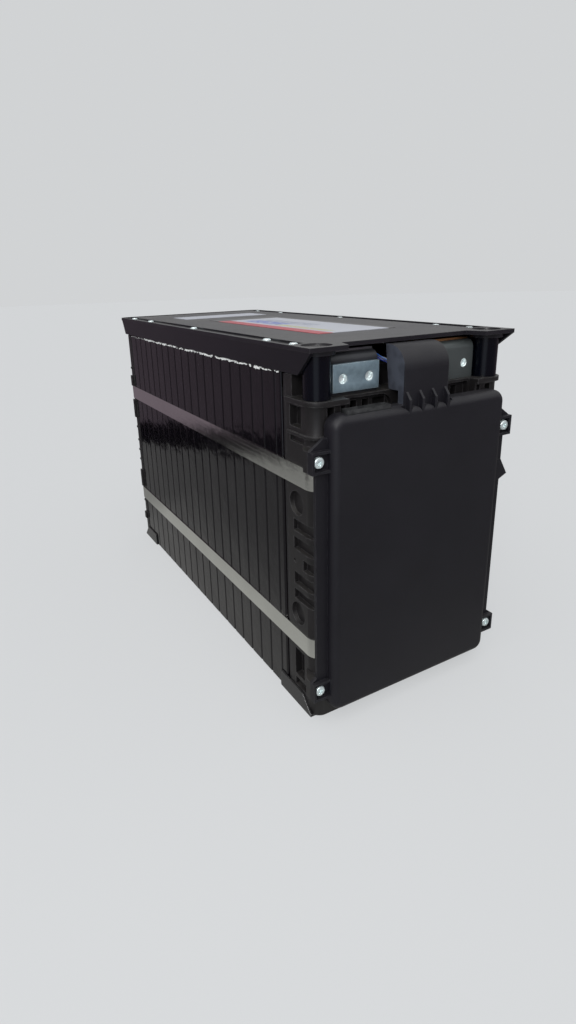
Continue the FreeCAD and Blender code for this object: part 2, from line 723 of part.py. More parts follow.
def draw_bay(sketch, side):
    """The opening under the ledge on one side, with a large round at its inner upper corner."""
    sign = "-" if side < 0 else ""
    inner, outer = f"{sign}{{bay_inner}}", f"{sign}({{bay_outer}} - {{rim_gauge}})"
    low, high = "{z_stack} + {bay_level}", "{z_ledge} - {rim_gauge}"
    quarters = (1, 2) if side > 0 else (0, 1)
    bend = draw_arc(sketch, f"{sign}({{bay_inner}} + {{bay_round}})", high + " - {bay_round}",
                    "{bay_round}", quarters)
    side_end, top_end = (2, 1) if side > 0 else (1, 2)
    corners = [(value(outer), value(high)), (value(outer), value(low)), (value(inner), value(low))]
    path = [sketch.getPoint(bend, top_end)] + [V(*corner, 0) for corner in corners]
    path.append(sketch.getPoint(bend, side_end))
    first = sketch.GeometryCount
    sketch.addGeometry([Part.LineSegment(*pair) for pair in zip(path, path[1:])], False)
    top, wall, floor, post = range(first, first + 4)
    hold(sketch, [Sketcher.Constraint("Coincident", top, 1, bend, top_end),
                  Sketcher.Constraint("Coincident", top, 2, wall, 1),
                  Sketcher.Constraint("Coincident", wall, 2, floor, 1),
                  Sketcher.Constraint("Coincident", floor, 2, post, 1),
                  Sketcher.Constraint("Coincident", post, 2, bend, side_end),
                  Sketcher.Constraint("Horizontal", top),
                  Sketcher.Constraint("Vertical", wall),
                  Sketcher.Constraint("Horizontal", floor),
                  Sketcher.Constraint("Vertical", post),
                  Sketcher.Constraint("DistanceX", -1, 1, wall, 1, value(outer)),
                  Sketcher.Constraint("DistanceY", -1, 1, floor, 1, value(low))],
         [""] * 9 + [outer, low])


def draw_ears(sketch):
    """The plan of the two ears at one level, each with a sloping back."""
    for sign in ("-", ""):
        outer, inner = f"{sign}{{lug_width}} / 2", f"{sign}({{half_width}} - {{corner_radius}})"
        wall, step = f"{sign}{{half_width}}", f"{sign}({{cover_width}} / 2 + {{cover_clearance}})"
        draw_polygon(sketch, [(inner, "{y_front}"), (step, "{y_front}"),
                              (step, "{y_seat}"), (outer, "{y_seat}"),
                              (outer, "{y_seat} + {flange_gauge} + {plate_wall}"),
                              (wall, "{y_front_bore} + {plate_wall}"),
                              (inner, "{y_front_bore} + {plate_wall}")])


def draw_stud_holes(sketch):
    """The two terminal holes on each side."""
    for sign in ("-", ""):
        for step in ("-", "+"):
            draw_circle(sketch, f"{sign}{{terminal_offset}} {step} {{stud_spacing}} / 2",
                        "{z_stud}", "{stud_radius}")


# Lower and upper level of each row of cells between the rear plate's ribs.
REAR_ZONES = ((6, 26), (29, 47), (71, 96), (99, 122), (125, 148), (151, 177), (201, 224), (227, 251))
# What stands out from each side face of the rear plate, by reach. Each box is its lower and upper
# level. A ring is open in the middle.
REAR_SIDE_RIBS = {
    2.4: ((24.0, 33.0), (197.0, 209.5)),
    1.4: ((47.7, 50.1), (102.9, 105.3), (115.4, 117.8), (127.8, 130.2), (144.5, 146.9),
          (217.2, 219.6)),
}
REAR_SIDE_RINGS = {2.4: ((68.0, 90.4), (158.0, 180.5))}


def build_rear_end_plate():
    """The shallow end plate: a lattice of ribs open to the back, and ribs and rings at the sides."""
    body = new_body("rear_end_plate")
    block = new_sketch(body, "RearBlock", "XY", "{z_stack}")
    draw_box(block, "-{half_width}", "{half_width}", "{y_rear_plate}", "{y_rear}")
    pad(body, block, "{fin_height}")
    soften(body, "Fillet", "RearCorners", "{corner_radius}",
           lambda edge: along(edge, 2) and at(edge, ax=value("{half_width}"), y=value("{y_rear}")))
    pillars = new_sketch(body, "RearPillars", "XY", "{z_fin_top}")
    bores = new_sketch(body, "RearBores", "XY", "{z_post_top}")
    for sign in ("-", ""):
        draw_circle(pillars, f"{sign}{{x_bore}}", "{y_rear_bore}", "{post_spigot}")
        draw_circle(bores, f"{sign}{{x_bore}}", "{y_rear_bore}", "{bore_radius}")
    pad(body, pillars, "{post_top_level} - {fin_height}")
    pocket(body, bores, "{post_top_level}")
    for sign, side in (("-", "Left"), ("", "Right")):
        for reach, levels in REAR_SIDE_RIBS.items():
            sketch = new_sketch(body, f"Rear{side}Ribs{reach * 10:.0f}", "YZ",
                                f"{sign}{{half_width}}")
            draw_side_ribs(sketch, levels, REAR_SIDE_RINGS.get(reach, ()))
            pad(body, sketch, str(reach), back=sign == "-")
    cut_lattice(body, "RearCells", "{y_rear}", "{rear_plate_depth} - {plate_wall}",
                REAR_ZONES, 6, back=True)
    return body


def draw_side_ribs(sketch, levels, rings):
    """Ribs and rings over the flat part of the rear plate's side face."""
    start = "({y_rear_plate} + {plate_wall} / 2)"
    end = "({y_rear_plate} + {side_flat})"
    for low, high in levels + rings:
        draw_box(sketch, start, end, f"{{z_stack}} + {low}", f"{{z_stack}} + {high}")
    for low, high in rings:
        draw_box(sketch, start + " + {plate_wall} / 2", end + " - {plate_wall} / 2",
                 f"{{z_stack}} + {low} + {{plate_wall}}", f"{{z_stack}} + {high} - {{plate_wall}}")


# Bands, feet and posts

def build_band(label, level):
    """A steel band round the stack and both end plates."""
    body = new_body(label)
    outer = new_sketch(body, label + "_outer", "XY", f"{{z_stack}} + {level}")
    wide = "({half_width} + {band_gauge})"
    draw_box(outer, "-" + wide, wide, "{y_front} - {band_gauge}", "{y_rear} + {band_gauge}")
    pad(body, outer, "{band_width}")
    inner = new_sketch(body, label + "_inner", "XY", f"{{z_stack}} + {level} + {{band_width}}")
    draw_box(inner, "-{half_width}", "{half_width}", "{y_front}", "{y_rear}")
    pocket(body, inner, "{band_width}")
    for name, half, radius in (("_inner_corners", "{half_width}", "{corner_radius}"),
                               ("_outer_corners", wide, "{corner_radius} + {band_gauge}")):
        soften(body, "Fillet", label + name, radius,
               lambda edge, half=value(half): along(edge, 2) and at(edge, ax=half))
    return body


def build_band_clips():
    """The crimped clip that closes each band, on the back of the rear end plate."""
    body = new_body("band_clips")
    for name, level in (("LowerClip", "{lower_band_level}"), ("UpperClip", "{upper_band_level}")):
        face = new_sketch(body, name, "XZ", "{y_rear} + {band_gauge}")
        draw_box(face, "-{clip_length} / 2", "{clip_length} / 2",
                 f"{{z_stack}} + {level}", f"{{z_stack}} + {level} + {{band_width}}")
        pad(body, face, "{clip_gauge}", back=True)
    return body


def build_feet(label, stack_end, outward, reach, overlap, bore):
    """The left and right shoes under one end: a sole, and a side cheek with a sloping outer end."""
    body = new_body(label)
    outer = f"{stack_end} {outward} {reach}"
    back = "+" if outward == "-" else "-"
    inner = f"{stack_end} {back} {overlap}"
    sole = new_sketch(body, label + "_sole", "XY")
    for sign in ("-", ""):
        draw_box(sole, f"{sign}({{half_width}} + {{foot_gauge}})", f"{sign}{{foot_inner}}",
                 inner, outer)
    pad(body, sole, "{foot_gauge}")
    for sign, side in (("-", "left"), ("", "right")):
        cheek = new_sketch(body, f"{label}_{side}_cheek", "YZ", f"{sign}{{half_width}}")
        draw_polygon(cheek, [(inner, "0"), (outer, "0"), (outer, "{foot_gauge}"),
                             (f"{outer} {back} {{foot_slope}}", "{z_stack} + {foot_rise}"),
                             (inner, "{z_stack} + {foot_rise}")])
        pad(body, cheek, "{foot_gauge}", back=sign == "-")
    holes = new_sketch(body, label + "_holes", "XY", "{foot_gauge}")
    for sign in ("-", ""):
        draw_circle(holes, f"{sign}{{x_bore}}", bore, "{bore_radius}")
    pocket(body, holes, "{foot_gauge}")
    return body


def build_corner_posts():
    """The two sleeves between the front ledge and the lid's ears, each with a spigot below."""
    body = new_body("corner_posts")
    for name, base, radius, length in (
            ("Sleeves", "{z_ledge}", "{post_radius}", "{post_top_level} - {ledge_level}"),
            ("Spigots", "{z_ledge} - {spigot_depth}", "{post_spigot}", "{spigot_depth}")):
        ring = new_sketch(body, name, "XY", base)
        for sign in ("-", ""):
            draw_circle(ring, f"{sign}{{x_bore}}", "{y_front_bore}", radius)
        pad(body, ring, length)
    bores = new_sketch(body, "PostBores", "XY", "{z_post_top}")
    for sign in ("-", ""):
        draw_circle(bores, f"{sign}{{x_bore}}", "{y_front_bore}", "{bore_radius}")
    pocket(body, bores, "{post_top_level} - {ledge_level} + {spigot_depth}")
    return body


# The lid

def lid_screw_places():
    """Where the lid screws stand: each as its X and its Y."""
    return [(f"{sign}{{x_lid_screw}}", f"({{y_front}} + {setback})")
            for sign in ("-", "") for setback in LID_SCREW_SETBACKS]


def build_lid():
    """The skirted lid: a plate with two front ears, a channel for the screws and three skirts."""
    body = new_body("lid")
    plate = new_sketch(body, "LidPlate", "XY", "{z_lid_under}")
    ear = "({x_lid} - {lid_ear_width})"
    nose = "({x_lid} - {lid_corner})"
    draw_polygon(plate, [
        ("-" + nose, "{y_rear}"), ("-{x_lid}", "{y_rear} - {lid_corner}"),
        ("-{x_lid}", "{y_ear}"), ("-" + ear, "{y_ear}"),
        ("{lid_corner} - " + ear, "{y_lid_front}"), (ear + " - {lid_corner}", "{y_lid_front}"),
        (ear, "{y_ear}"), ("{x_lid}", "{y_ear}"),
        ("{x_lid}", "{y_rear} - {lid_corner}"), (nose, "{y_rear}")])
    pad(body, plate, "{lid_wall}")

    sides = new_sketch(body, "SideSkirts", "XZ", "{y_ear}")
    for sign in ("-", ""):
        top, low = f"{sign}{{x_lid}}", f"{sign}({{x_lid}} - {{lid_draft}})"
        draw_polygon(sides, [(top, "{z_lid}"), (low, "{z_skirt}"),
                             (f"{sign}({{x_lid}} - {{lid_draft}} - {{lid_skirt}})", "{z_skirt}"),
                             (f"{sign}({{x_lid}} - {{lid_skirt}})", "{z_lid}")])
    pad(body, sides, "{y_rear} - {lid_corner} - {y_ear}", back=True)
    slope = new_sketch(body, "SkirtSlope", "YZ")
    draw_polygon(slope, [("{y_ear} - {lid_wall}", "{z_lid_under}"), ("{y_ear}", "{z_lid_under}"),
                         ("{y_ear} + {skirt_front_set}", "{z_skirt}"),
                         ("{y_ear} + {skirt_front_set}", "{z_skirt} - {lid_wall}"),
                         ("{y_ear} - {lid_wall}", "{z_skirt} - {lid_wall}")])
    pocket(body, slope, "2 * {lid_width}", middle=True)

    rear = new_sketch(body, "RearSkirt", "XY", "{z_skirt}")
    low_nose = "({x_lid} - {lid_draft} - {lid_corner})"
    draw_box(rear, "-" + low_nose, low_nose, "{y_rear} - {lid_skirt}", "{y_rear}")
    for sign in ("-", ""):
        draw_polygon(rear, [(f"{sign}{low_nose}", "{y_rear}"),
                            (f"{sign}({{x_lid}} - {{lid_draft}})", "{y_rear} - {lid_corner}"),
                            (f"{sign}({{x_lid}} - {{lid_draft}} - {{lid_skirt}})",
                             "{y_rear} - {lid_corner}"),
                            (f"{sign}{low_nose}", "{y_rear} - {lid_skirt}")])
    pad(body, rear, "{z_lid_under} - {z_skirt}")

    seats = new_sketch(body, "EarBosses", "XY", "{z_post_top}")
    holes = new_sketch(body, "EarHoles", "XY", "{z_lid}")
    for sign in ("-", ""):
        draw_circle(seats, f"{sign}{{x_bore}}", "{y_front_bore}", "{ear_boss_radius}")
    pad(body, seats, "{z_lid_under} - {z_post_top}")
    rear_seats = new_sketch(body, "RearBosses", "XY", "{z_post_top}")
    for sign in ("-", ""):
        draw_circle(rear_seats, f"{sign}{{x_bore}}", "{y_rear_bore}", "{post_spigot}")
        draw_circle(holes, f"{sign}{{x_bore}}", "{y_front_bore}", "{bore_radius}")
        draw_circle(holes, f"{sign}{{x_bore}}", "{y_rear_bore}", "{bore_radius}")
    pad(body, rear_seats, "{z_lid_under} - {z_post_top}")
    pocket(body, holes, "{lid_level} - {post_top_level}")
    recess = new_sketch(body, "EarRecess", "XY", "{z_lid}")
    for sign in ("-", ""):
        draw_circle(recess, f"{sign}{{x_bore}}", "{y_front_bore}", "{ear_recess_radius}")
    pocket(body, recess, "{ear_recess_depth}")

    channel = new_sketch(body, "LidChannel", "XY", "{z_lid}")
    edge, panel = "({x_lid} - {lid_edge})", "({x_lid} - {lid_rim})"
    front = "{y_front} + {lid_channel_front}"
    draw_polygon(channel, [
        ("-" + edge, front), ("-" + panel, front), ("-" + panel, "{y_rear} - {lid_rim}"),
        (panel, "{y_rear} - {lid_rim}"), (panel, front), (edge, front),
        (edge, "{y_rear} - {lid_edge} - {lid_corner}"), (edge + " - {lid_corner}", "{y_rear} - {lid_edge}"),
        ("{lid_corner} - " + edge, "{y_rear} - {lid_edge}"),
        ("-" + edge, "{y_rear} - {lid_edge} - {lid_corner}")])
    pocket(body, channel, "{lid_channel_depth}")
    screws = new_sketch(body, "LidScrewHoles", "XY", "{z_lid}")
    for across, along_pack in lid_screw_places():
        draw_circle(screws, across, along_pack, "{lid_screw_shank}")
    pocket(body, screws, "{lid_wall}")
    return body


def build_lid_labels():
    """The two bare stickers on the lid's panel: the data label and a narrow strip behind it."""
    body = new_body("lid_labels")
    for name, width, front, length in (
            ("DataLabel", "{label_width}", "{label_front}", "{label_length}"),
            ("StripLabel", "{strip_label_width}", "{strip_label_front}", "{strip_label_length}")):
        face = new_sketch(body, name, "XY", "{z_lid}")
        draw_box(face, f"-{width} / 2", f"{width} / 2",
                 f"{{y_front}} + {front}", f"{{y_front}} + {front} + {length}")
        pad(body, face, "{label_gauge}")
    return body


def build_screws(label, plane, centres, level, head, dome, shank, length):
    """A set of pan-head screws whose heads sit on one plane."""
    body = new_body(label)
    heads = new_sketch(body, label + "_heads", plane, level)
    shanks = new_sketch(body, label + "_shanks", plane, level)
    for across, up in centres:
        draw_circle(heads, across, up, head)
        draw_circle(shanks, across, up, shank)
    pad(body, heads, dome)
    pad(body, shanks, length, back=True)
    axis = {"XY": 2, "XZ": 1}[plane]
    top = value(level) + (value(dome) if plane == "XY" else -value(dome))
    soften(body, "Chamfer", label + "_crown", f"{dome} * {{dome_share}}",
           lambda edge: edge.Curve.TypeId == "Part::GeomCircle"
           and abs(edge.BoundBox.Center[axis] - top) < NEAR)
    return body


def build_lid_screws():
    """The screws along the lid's rims."""
    return build_screws("lid_screws", "XY", lid_screw_places(),
                        "{z_lid} - {lid_channel_depth}", "{lid_screw_head}",
                        "{lid_screw_dome}", "{lid_screw_shank}", "{lid_screw_length}")


def build_edge_seals():
    """The thin white bead between the fins' top edges and each side skirt."""
    body = new_body("edge_seals")
    plan = new_sketch(body, "Beads", "XY", "{z_fin_top}")
    for sign in ("-", ""):
        outer = f"{sign}({{half_width}} + {{bead_width}} / 3)"
        inner = f"{sign}({{half_width}} - 2 * {{bead_width}} / 3)"
        draw_box(plan, outer, inner, "{y_stack}", "{y_rear_sheet}")
    pad(body, plan, "{lid_skirt_level} - {fin_height}")
    return body


# The front cover

def cover_screw_places():
    """Where the four cover screws stand: each as its X and its Z."""
    return [(f"{sign}{{cover_screw_offset}}", f"({{z_stack}} + {level})")
            for sign in ("-", "") for level in ("{lower_lug_level}", "{upper_lug_level}")]


def build_front_cover():
    """The moulded cover: hollow box, flanges, four screw lugs and the hood over the lead."""
    body = new_body("front_cover")
    half = "({cover_width} / 2)"
    box = new_sketch(body, "CoverBox", "XZ", "{y_cover_back}")
    draw_box(box, "-" + half, half, "{z_cover_bottom}", "{z_cover_top}")
    pad(body, box, "{cover_reach} - {cover_gap}")
    hollow = new_sketch(body, "CoverHollow", "XZ", "{y_cover_back}")
    draw_box(hollow, "{cover_wall} - " + half, half + " - {cover_wall}",
             "{z_cover_bottom} + {cover_wall}", "{z_cover_top} - {cover_wall}")
    pocket(body, hollow, "{cover_reach} - {cover_gap} - {cover_wall}", back=True)
    inner = value(half + " - {cover_wall}")
    soften(body, "Fillet", "HollowCorners", "{cover_corner} - {cover_wall}",
           lambda edge: along(edge, 1) and at(edge, ax=inner))
    front, width = value("{y_cover}"), value(half)
    soften(body, "Fillet", "CoverCorners", "{cover_corner}",
           lambda edge: along(edge, 1) and at(edge, ax=width))
    soften(body, "Fillet", "CoverEdge", "{cover_edge}",
           lambda edge: abs(edge.BoundBox.YMax - front) < NEAR)

    scallops = new_sketch(body, "Scallops", "XZ", "{y_cover}")
    draw_scallops(scallops)
    pocket(body, scallops, "{hood_setback}")

    neck = "{y_front} - {ledge_lip} - {cover_clearance}"
    shelf, low = "{z_ledge} + {cover_clearance}", "{z_cover_top} - 2 * {cover_edge}"
    crest, roof = "{z_stack} + {hood_top_level}", "{z_stack} + {hood_top_level} - {hood_wall}"
    inside = "{y_hood} + {hood_wall}"
    hood = new_sketch(body, "Hood", "YZ", "{hood_offset}")
    draw_polygon(hood, [("{y_hood}", low), (neck, low), (neck, shelf), ("{y_hood_back}", shelf),
                        ("{y_hood_back} + {hood_lean}", crest), ("{y_hood}", crest)])
    pad(body, hood, "{hood_width}", middle=True)
    duct = new_sketch(body, "HoodDuct", "YZ", "{hood_offset}")
    beyond = "{y_hood_back} + {hood_lean} + {hood_wall}"
    draw_polygon(duct, [(inside, low), (neck + " + {hood_wall}", low),
                        (neck + " + {hood_wall}", shelf + " - {hood_wall}"),
                        (beyond, shelf + " - {hood_wall}"), (beyond, roof), (inside, roof)])
    pocket(body, duct, "{hood_width} - 2 * {hood_wall}", middle=True)
    for name, radius, height, setback in (
            ("DuctBrow", "{hood_round} - {hood_wall}", value(roof), value(inside)),
            ("HoodBrow", "{hood_round}", value(crest), value("{y_hood}"))):
        soften(body, "Fillet", name, radius,
               lambda edge, up=height, across=setback: along(edge, 0) and at(edge, z=up, y=across))
    foot = "{z_stack} + {dome_level} - ({gusset_pitch} - {gusset_gauge}) / 2"
    for number in range(count("{gusset_count}")):
        gusset = new_sketch(body, f"HoodGusset{number + 1}", "YZ",
                            f"{{hood_offset}} + ({number} - ({{gusset_count}} - 1) / 2) * {{gusset_pitch}}")
        draw_polygon(gusset, [("{y_hood}", "{z_stack} + {gusset_level}"),
                              ("{y_hood} + {hood_wall} / 2", "{z_stack} + {gusset_level}"),
                              ("{y_hood} + {hood_wall} / 2", foot), ("{y_cover}", foot),
                              ("{y_cover}", "{z_stack} + {gusset_bend_level}")])
        pad(body, gusset, "{gusset_gauge}", middle=True)
    return add_lugs(body, half)


def draw_scallops(sketch):
    """The space over the half rounds between the hood's gussets, where the cover's edge is cut away."""
    radius = "({gusset_pitch} - {gusset_gauge}) / 2"
    level = f"{{z_stack}} + {{dome_level}} - {radius}"
    last = count("{gusset_count}")
    domes = []
    for turn in range(last + 1):
        quarters = (1 if turn == last else 0, 1 if turn == 0 else 2)
        domes.append(draw_arc(sketch, f"{{hood_offset}} + ({turn} - {{gusset_count}} / 2) * {{gusset_pitch}}",
                              level, radius, quarters))
    for dome, following in zip(domes, domes[1:]):
        draw_line(sketch, (dome, 1), (following, 2))
    high = value("{z_cover_top} + {cover_wall}")
    left, right = sketch.getPoint(domes[0], 2), sketch.getPoint(domes[-1], 1)
    corners = [left, V(left.x, high, 0), V(right.x, high, 0), right]
    rise, roof, drop = range(sketch.GeometryCount, sketch.GeometryCount + 3)
    sketch.addGeometry([Part.LineSegment(*pair) for pair in zip(corners, corners[1:])], False)
    hold(sketch, [Sketcher.Constraint("Coincident", rise, 1, domes[0], 2),
                  Sketcher.Constraint("Coincident", rise, 2, roof, 1),
                  Sketcher.Constraint("Coincident", roof, 2, drop, 1),
                  Sketcher.Constraint("Coincident", drop, 2, domes[-1], 1),
                  Sketcher.Constraint("Vertical", rise),
                  Sketcher.Constraint("Horizontal", roof),
                  Sketcher.Constraint("Vertical", drop),
                  Sketcher.Constraint("DistanceY", -1, 1, roof, 1, high)],
         [""] * 7 + ["{z_cover_top} + {cover_wall}"])


def add_lugs(body, half):
    """The cover's side flanges, its four screw lugs and the slot for the plug."""
    for name, sign in (("Left", "-"), ("Right", "")):
        root = f"{sign}({half} - {{cover_wall}} / 2)"
        flange = new_sketch(body, name + "Flange", "XZ", "{y_seat}")
        draw_box(flange, root, f"{sign}{{flange_width}} / 2",
                 "{z_stack} + {lower_lug_level} + {lug_half_height}",
                 "{z_stack} + {upper_lug_level} - {lug_half_height}")
        pad(body, flange, "{flange_gauge}")
        for place, level in (("Lower", "{lower_lug_level}"), ("Upper", "{upper_lug_level}")):
            low = f"{{z_stack}} + {level} - {{lug_half_height}}"
            high = f"{{z_stack}} + {level} + {{lug_half_height}}"
            outer = f"{sign}{{lug_width}} / 2"
            seat = new_sketch(body, f"{name}{place}Seat", "XZ", "{y_seat}")
            draw_polygon(seat, [(root, low), (outer, low), (outer, high),
                                (f"{sign}({half} + {{plate_wall}})", f"{high} + {{lug_half_height}}"),
                                (root, f"{high} + {{lug_half_height}}")])
            pad(body, seat, "{flange_gauge}")
            walls = new_sketch(body, f"{name}{place}Walls", "XZ", "{y_flange}")
            inside = f"{sign}({{lug_width}} / 2 - {{lug_wall}})"
            draw_polygon(walls, [(root, low), (outer, low), (outer, high), (root, high),
                                 (root, f"{high} - {{lug_wall}}"), (inside, f"{high} - {{lug_wall}}"),
                                 (inside, f"{low} + {{lug_wall}}"), (root, f"{low} + {{lug_wall}}")])
            pad(body, walls, "{lug_depth}")
    hook = new_sketch(body, "FlangeHook", "XZ", "{y_flange}")
    draw_polygon(hook, [(half, "{z_stack} + {hook_level} - {hook_drop}"),
                        ("{lug_width} / 2", "{z_stack} + {hook_level}"),
                        ("{half_width} - {lug_wall}", "{z_stack} + {hook_level} + {hook_rise}"),
                        (half, "{z_stack} + {hook_level} + {hook_rise}")])
    pad(body, hook, "{lug_depth}")
    holes = new_sketch(body, "LugHoles", "XZ", "{y_flange}")
    for across, up in cover_screw_places():
        draw_circle(holes, across, up, "{cover_screw_shank}")
    pocket(body, holes, "{flange_gauge}")
    slot = new_sketch(body, "PlugSlot", "XY", "{z_cover_top}")
    draw_box(slot, "{plug_offset} - {plug_width} / 2 - {plug_slot_gap}",
             "{plug_offset} + {plug_width} / 2 + {plug_slot_gap}",
             "{y_cover} + {plug_setback} - {plug_slot_gap}", "{y_cover_back}")
    pocket(body, slot, "{cover_wall}")
    return body


def build_cover_screws():
    """The four zinc screws in the cover's lugs."""
    return build_screws("cover_screws", "XZ", cover_screw_places(), "{y_flange}",
                        "{cover_screw_head}", "{cover_screw_dome}", "{cover_screw_shank}",
                        "{cover_screw_length}")


# The monitoring board, its connector and the lead to the sense board

# Parts soldered on the front of the monitoring board: centre, level, half width, half height, depth.
BOARD_PARTS = (
    (-30.0, 150.0, 8.0, 8.0, 2.0),
    (18.0, 160.0, 10.0, 6.0, 2.5),
    (-40.0, 96.0, 6.0, 6.0, 1.6),
    (0.0, 104.0, 7.0, 7.0, 1.6),
    (38.0, 96.0, 6.0, 6.0, 1.6),
    (-22.0, 54.0, 12.0, 4.0, 3.5),
    (28.0, 56.0, 5.0, 9.0, 4.0),
)


def build_monitor_board():
    """The monitoring board with its larger parts, on four studs of the front end plate."""
    body = new_body("monitor_board")
    low = "{z_stack} + {monitor_bottom_level}"
    board = new_sketch(body, "Board", "XZ", "{y_board}")
    draw_box(board, "-{monitor_width} / 2", "{monitor_width} / 2", low, low + " + {monitor_height}")
    pad(body, board, "{board_gauge}")
    for number, (centre, level, half, rise, depth) in enumerate(BOARD_PARTS, start=1):
        chip = new_sketch(body, f"BoardPart{number}", "XZ", "{y_board} - {board_gauge}")
        draw_box(chip, f"{centre} - {half}", f"{centre} + {half}",
                 f"{{z_stack}} + {level} - {rise}", f"{{z_stack}} + {level} + {rise}")
        pad(body, chip, str(depth))
    header = new_sketch(body, "LeadHeader", "XZ", "{y_board} - {board_gauge}")
    draw_box(header, "{lead_offset} - {header_half}", "{lead_offset} + {header_half}",
             low + " + {monitor_height} - {header_rise}", low + " + {monitor_height} - {header_inset}")
    pad(body, header, "{header_depth}")
    holes = new_sketch(body, "BoardHoles", "XZ", "{y_board} - {board_gauge}")
    for across, up in board_stud_places():
        draw_circle(holes, across, up, "{stud_pin_radius}")
    pocket(body, holes, "{board_gauge}")
    return body


def board_stud_places():
    """Where the four studs hold the monitoring board: each as its X and its Z."""
    return [(f"{sign}({{monitor_width}} / 2 - {{stud_inset}})", f"({{z_stack}} + {up})")
            for sign in ("-", "")
            for up in ("{monitor_bottom_level} + {stud_inset}",
                       "{monitor_bottom_level} + {monitor_height} - {stud_inset}")]


def build_signal_connector():
    """The open multi-pin plug that stands on the board's top edge and looks out of the cover."""
    body = new_body("signal_connector")
    base = "{z_stack} + {monitor_bottom_level} + {monitor_height}"
    top = base + " + {plug_height}"
    left, right = "{plug_offset} - {plug_width} / 2", "{plug_offset} + {plug_width} / 2"
    front = "{y_cover} + {plug_setback}"
    shell = new_sketch(body, "PlugShell", "XY", base)
    draw_box(shell, left, right, front, front + " + {plug_depth}")
    pad(body, shell, "{plug_height}")
    mouth = new_sketch(body, "PlugMouth", "XY", top)
    draw_box(mouth, left + " + {plug_wall}", right + " - {plug_wall}",
             front + " + {plug_wall}", front + " + {plug_depth} - {plug_wall}")
    pocket(body, mouth, "{plug_cavity}")
    pins = new_sketch(body, "PlugPins", "XY", top + " - {plug_cavity}")
    for number in range(count("{pin_count}")):
        centre = f"{left} + ({number} + 0.5) * {{plug_width}} / {{pin_count}}"
        draw_box(pins, f"{centre} - {{pin_width}} / 2", f"{centre} + {{pin_width}} / 2",
                 front + " + ({plug_depth} - {pin_width}) / 2",
                 front + " + ({plug_depth} + {pin_width}) / 2")
    pad(body, pins, "{pin_height}")
    return body


# The lead from the monitoring board to the sense board: each point as its X, its distance behind
# the front of the end plate, and its level.
LEAD_ROUTE = (
    (-8.0, -7.2, 209.5),
    (-8.0, -7.2, 213.0),
    (-8.0, -4.4, 224.0),
    (-8.0, -3.2, 246.0),
    (-10.0, 9.0, 258.0),
    (-20.5, 18.0, 264.0),
    (-21.5, 25.0, 268.0),
    (-9.5, 33.5, 265.0),
    (-9.5, 40.2, 265.0),
)


def build_sense_lead():
    """The tube of the lead bundle: straight runs joined by tangent arcs."""
    front, base = value("{y_front}"), value("{z_stack}")
    points = [V(across, front + behind, base + level) for across, behind, level in LEAD_ROUTE]
    radius = value("{lead_radius}")
    edges = []
    start = points[0]
    for before, corner, after in zip(points, points[1:], points[2:]):
        inward, outward = (corner - before), (after - corner)
        turn = inward.getAngle(outward)
        run = min(inward.Length, outward.Length)
        setback = value("{lead_bend}") * run
        bend = setback / math.tan(turn / 2)
        arc_start = corner - inward.normalize() * setback
        arc_end = corner + outward.normalize() * setback
        bisector = (outward - inward).normalize()
        centre = corner + bisector * math.hypot(bend, setback)
        middle = centre - bisector * bend
        edges.append(Part.LineSegment(start, arc_start).toShape())
        edges.append(Part.Arc(arc_start, middle, arc_end).toShape())
        start = arc_end
    edges.append(Part.LineSegment(start, points[-1]).toShape())
    path = Part.Wire(edges)
    section = Part.Wire([Part.Circle(points[0], points[1] - points[0], radius).toShape()])
    tube = path.makePipeShell([section], True, False)
    lead = doc.addObject("Part::Feature", "SenseLead")
    lead.Label = "sense_lead"
    lead.Shape = tube
    return lead


# Terminals and the parts under the lid

def build_terminal(label, sign):
    """A bent terminal plate: upright face on the tower, top leg running back under the lid."""
    body = new_body(label)
    profile = new_sketch(body, label + "_profile", "YZ", f"{sign}{{terminal_offset}}")
    top = "{z_stack} + {terminal_top_level}"
    draw_polygon(profile, [
        ("{y_terminal}", "{z_ledge}"), ("{y_terminal} + {terminal_gauge}", "{z_ledge}"),
        ("{y_terminal} + {terminal_gauge}", top + " - {terminal_gauge}"),
        ("{y_terminal} + {terminal_leg}", top + " - {terminal_gauge}"),
        ("{y_terminal} + {terminal_leg}", top), ("{y_terminal}", top)])
    pad(body, profile, "{terminal_width}", middle=True)
    crown, face = value(top), value("{y_terminal}")
    soften(body, "Fillet", label + "_bend", "{terminal_bend}",
           lambda edge: along(edge, 0) and at(edge, z=crown, y=face))
    inner_crown, inner_face = value(top + " - {terminal_gauge}"), value("{y_terminal} + {terminal_gauge}")
    soften(body, "Fillet", label + "_inner_bend", "{terminal_bend} - {terminal_gauge}",
           lambda edge: along(edge, 0) and at(edge, z=inner_crown, y=inner_face))
    holes = new_sketch(body, label + "_holes", "XZ", "{y_terminal}")
    for step in ("-", "+"):
        draw_circle(holes, f"{sign}{{terminal_offset}} {step} {{stud_spacing}} / 2",
                    "{z_stud}", "{stud_radius}")
    pocket(body, holes, "{terminal_gauge}")
    return body


def build_contact_plate():
    """The zinc-plated contact plate in front of the positive terminal."""
    body = new_body("positive_contact_plate")
    face = new_sketch(body, "ContactFace", "XZ", "{y_terminal}")
    centre = "-{terminal_offset}"
    draw_box(face, centre + " - {contact_width} / 2", centre + " + {contact_width} / 2",
             "{z_ledge} + {contact_rise}", "{z_ledge} + {contact_rise} + {contact_height}")
    pad(body, face, "{contact_gauge}")
    holes = new_sketch(body, "ContactHoles", "XZ", "{y_terminal} - {contact_gauge}")
    for step in ("-", "+"):
        draw_circle(holes, f"{centre} {step} {{stud_spacing}} / 2", "{z_stud}", "{stud_radius}")
    pocket(body, holes, "{contact_gauge}")
    return body


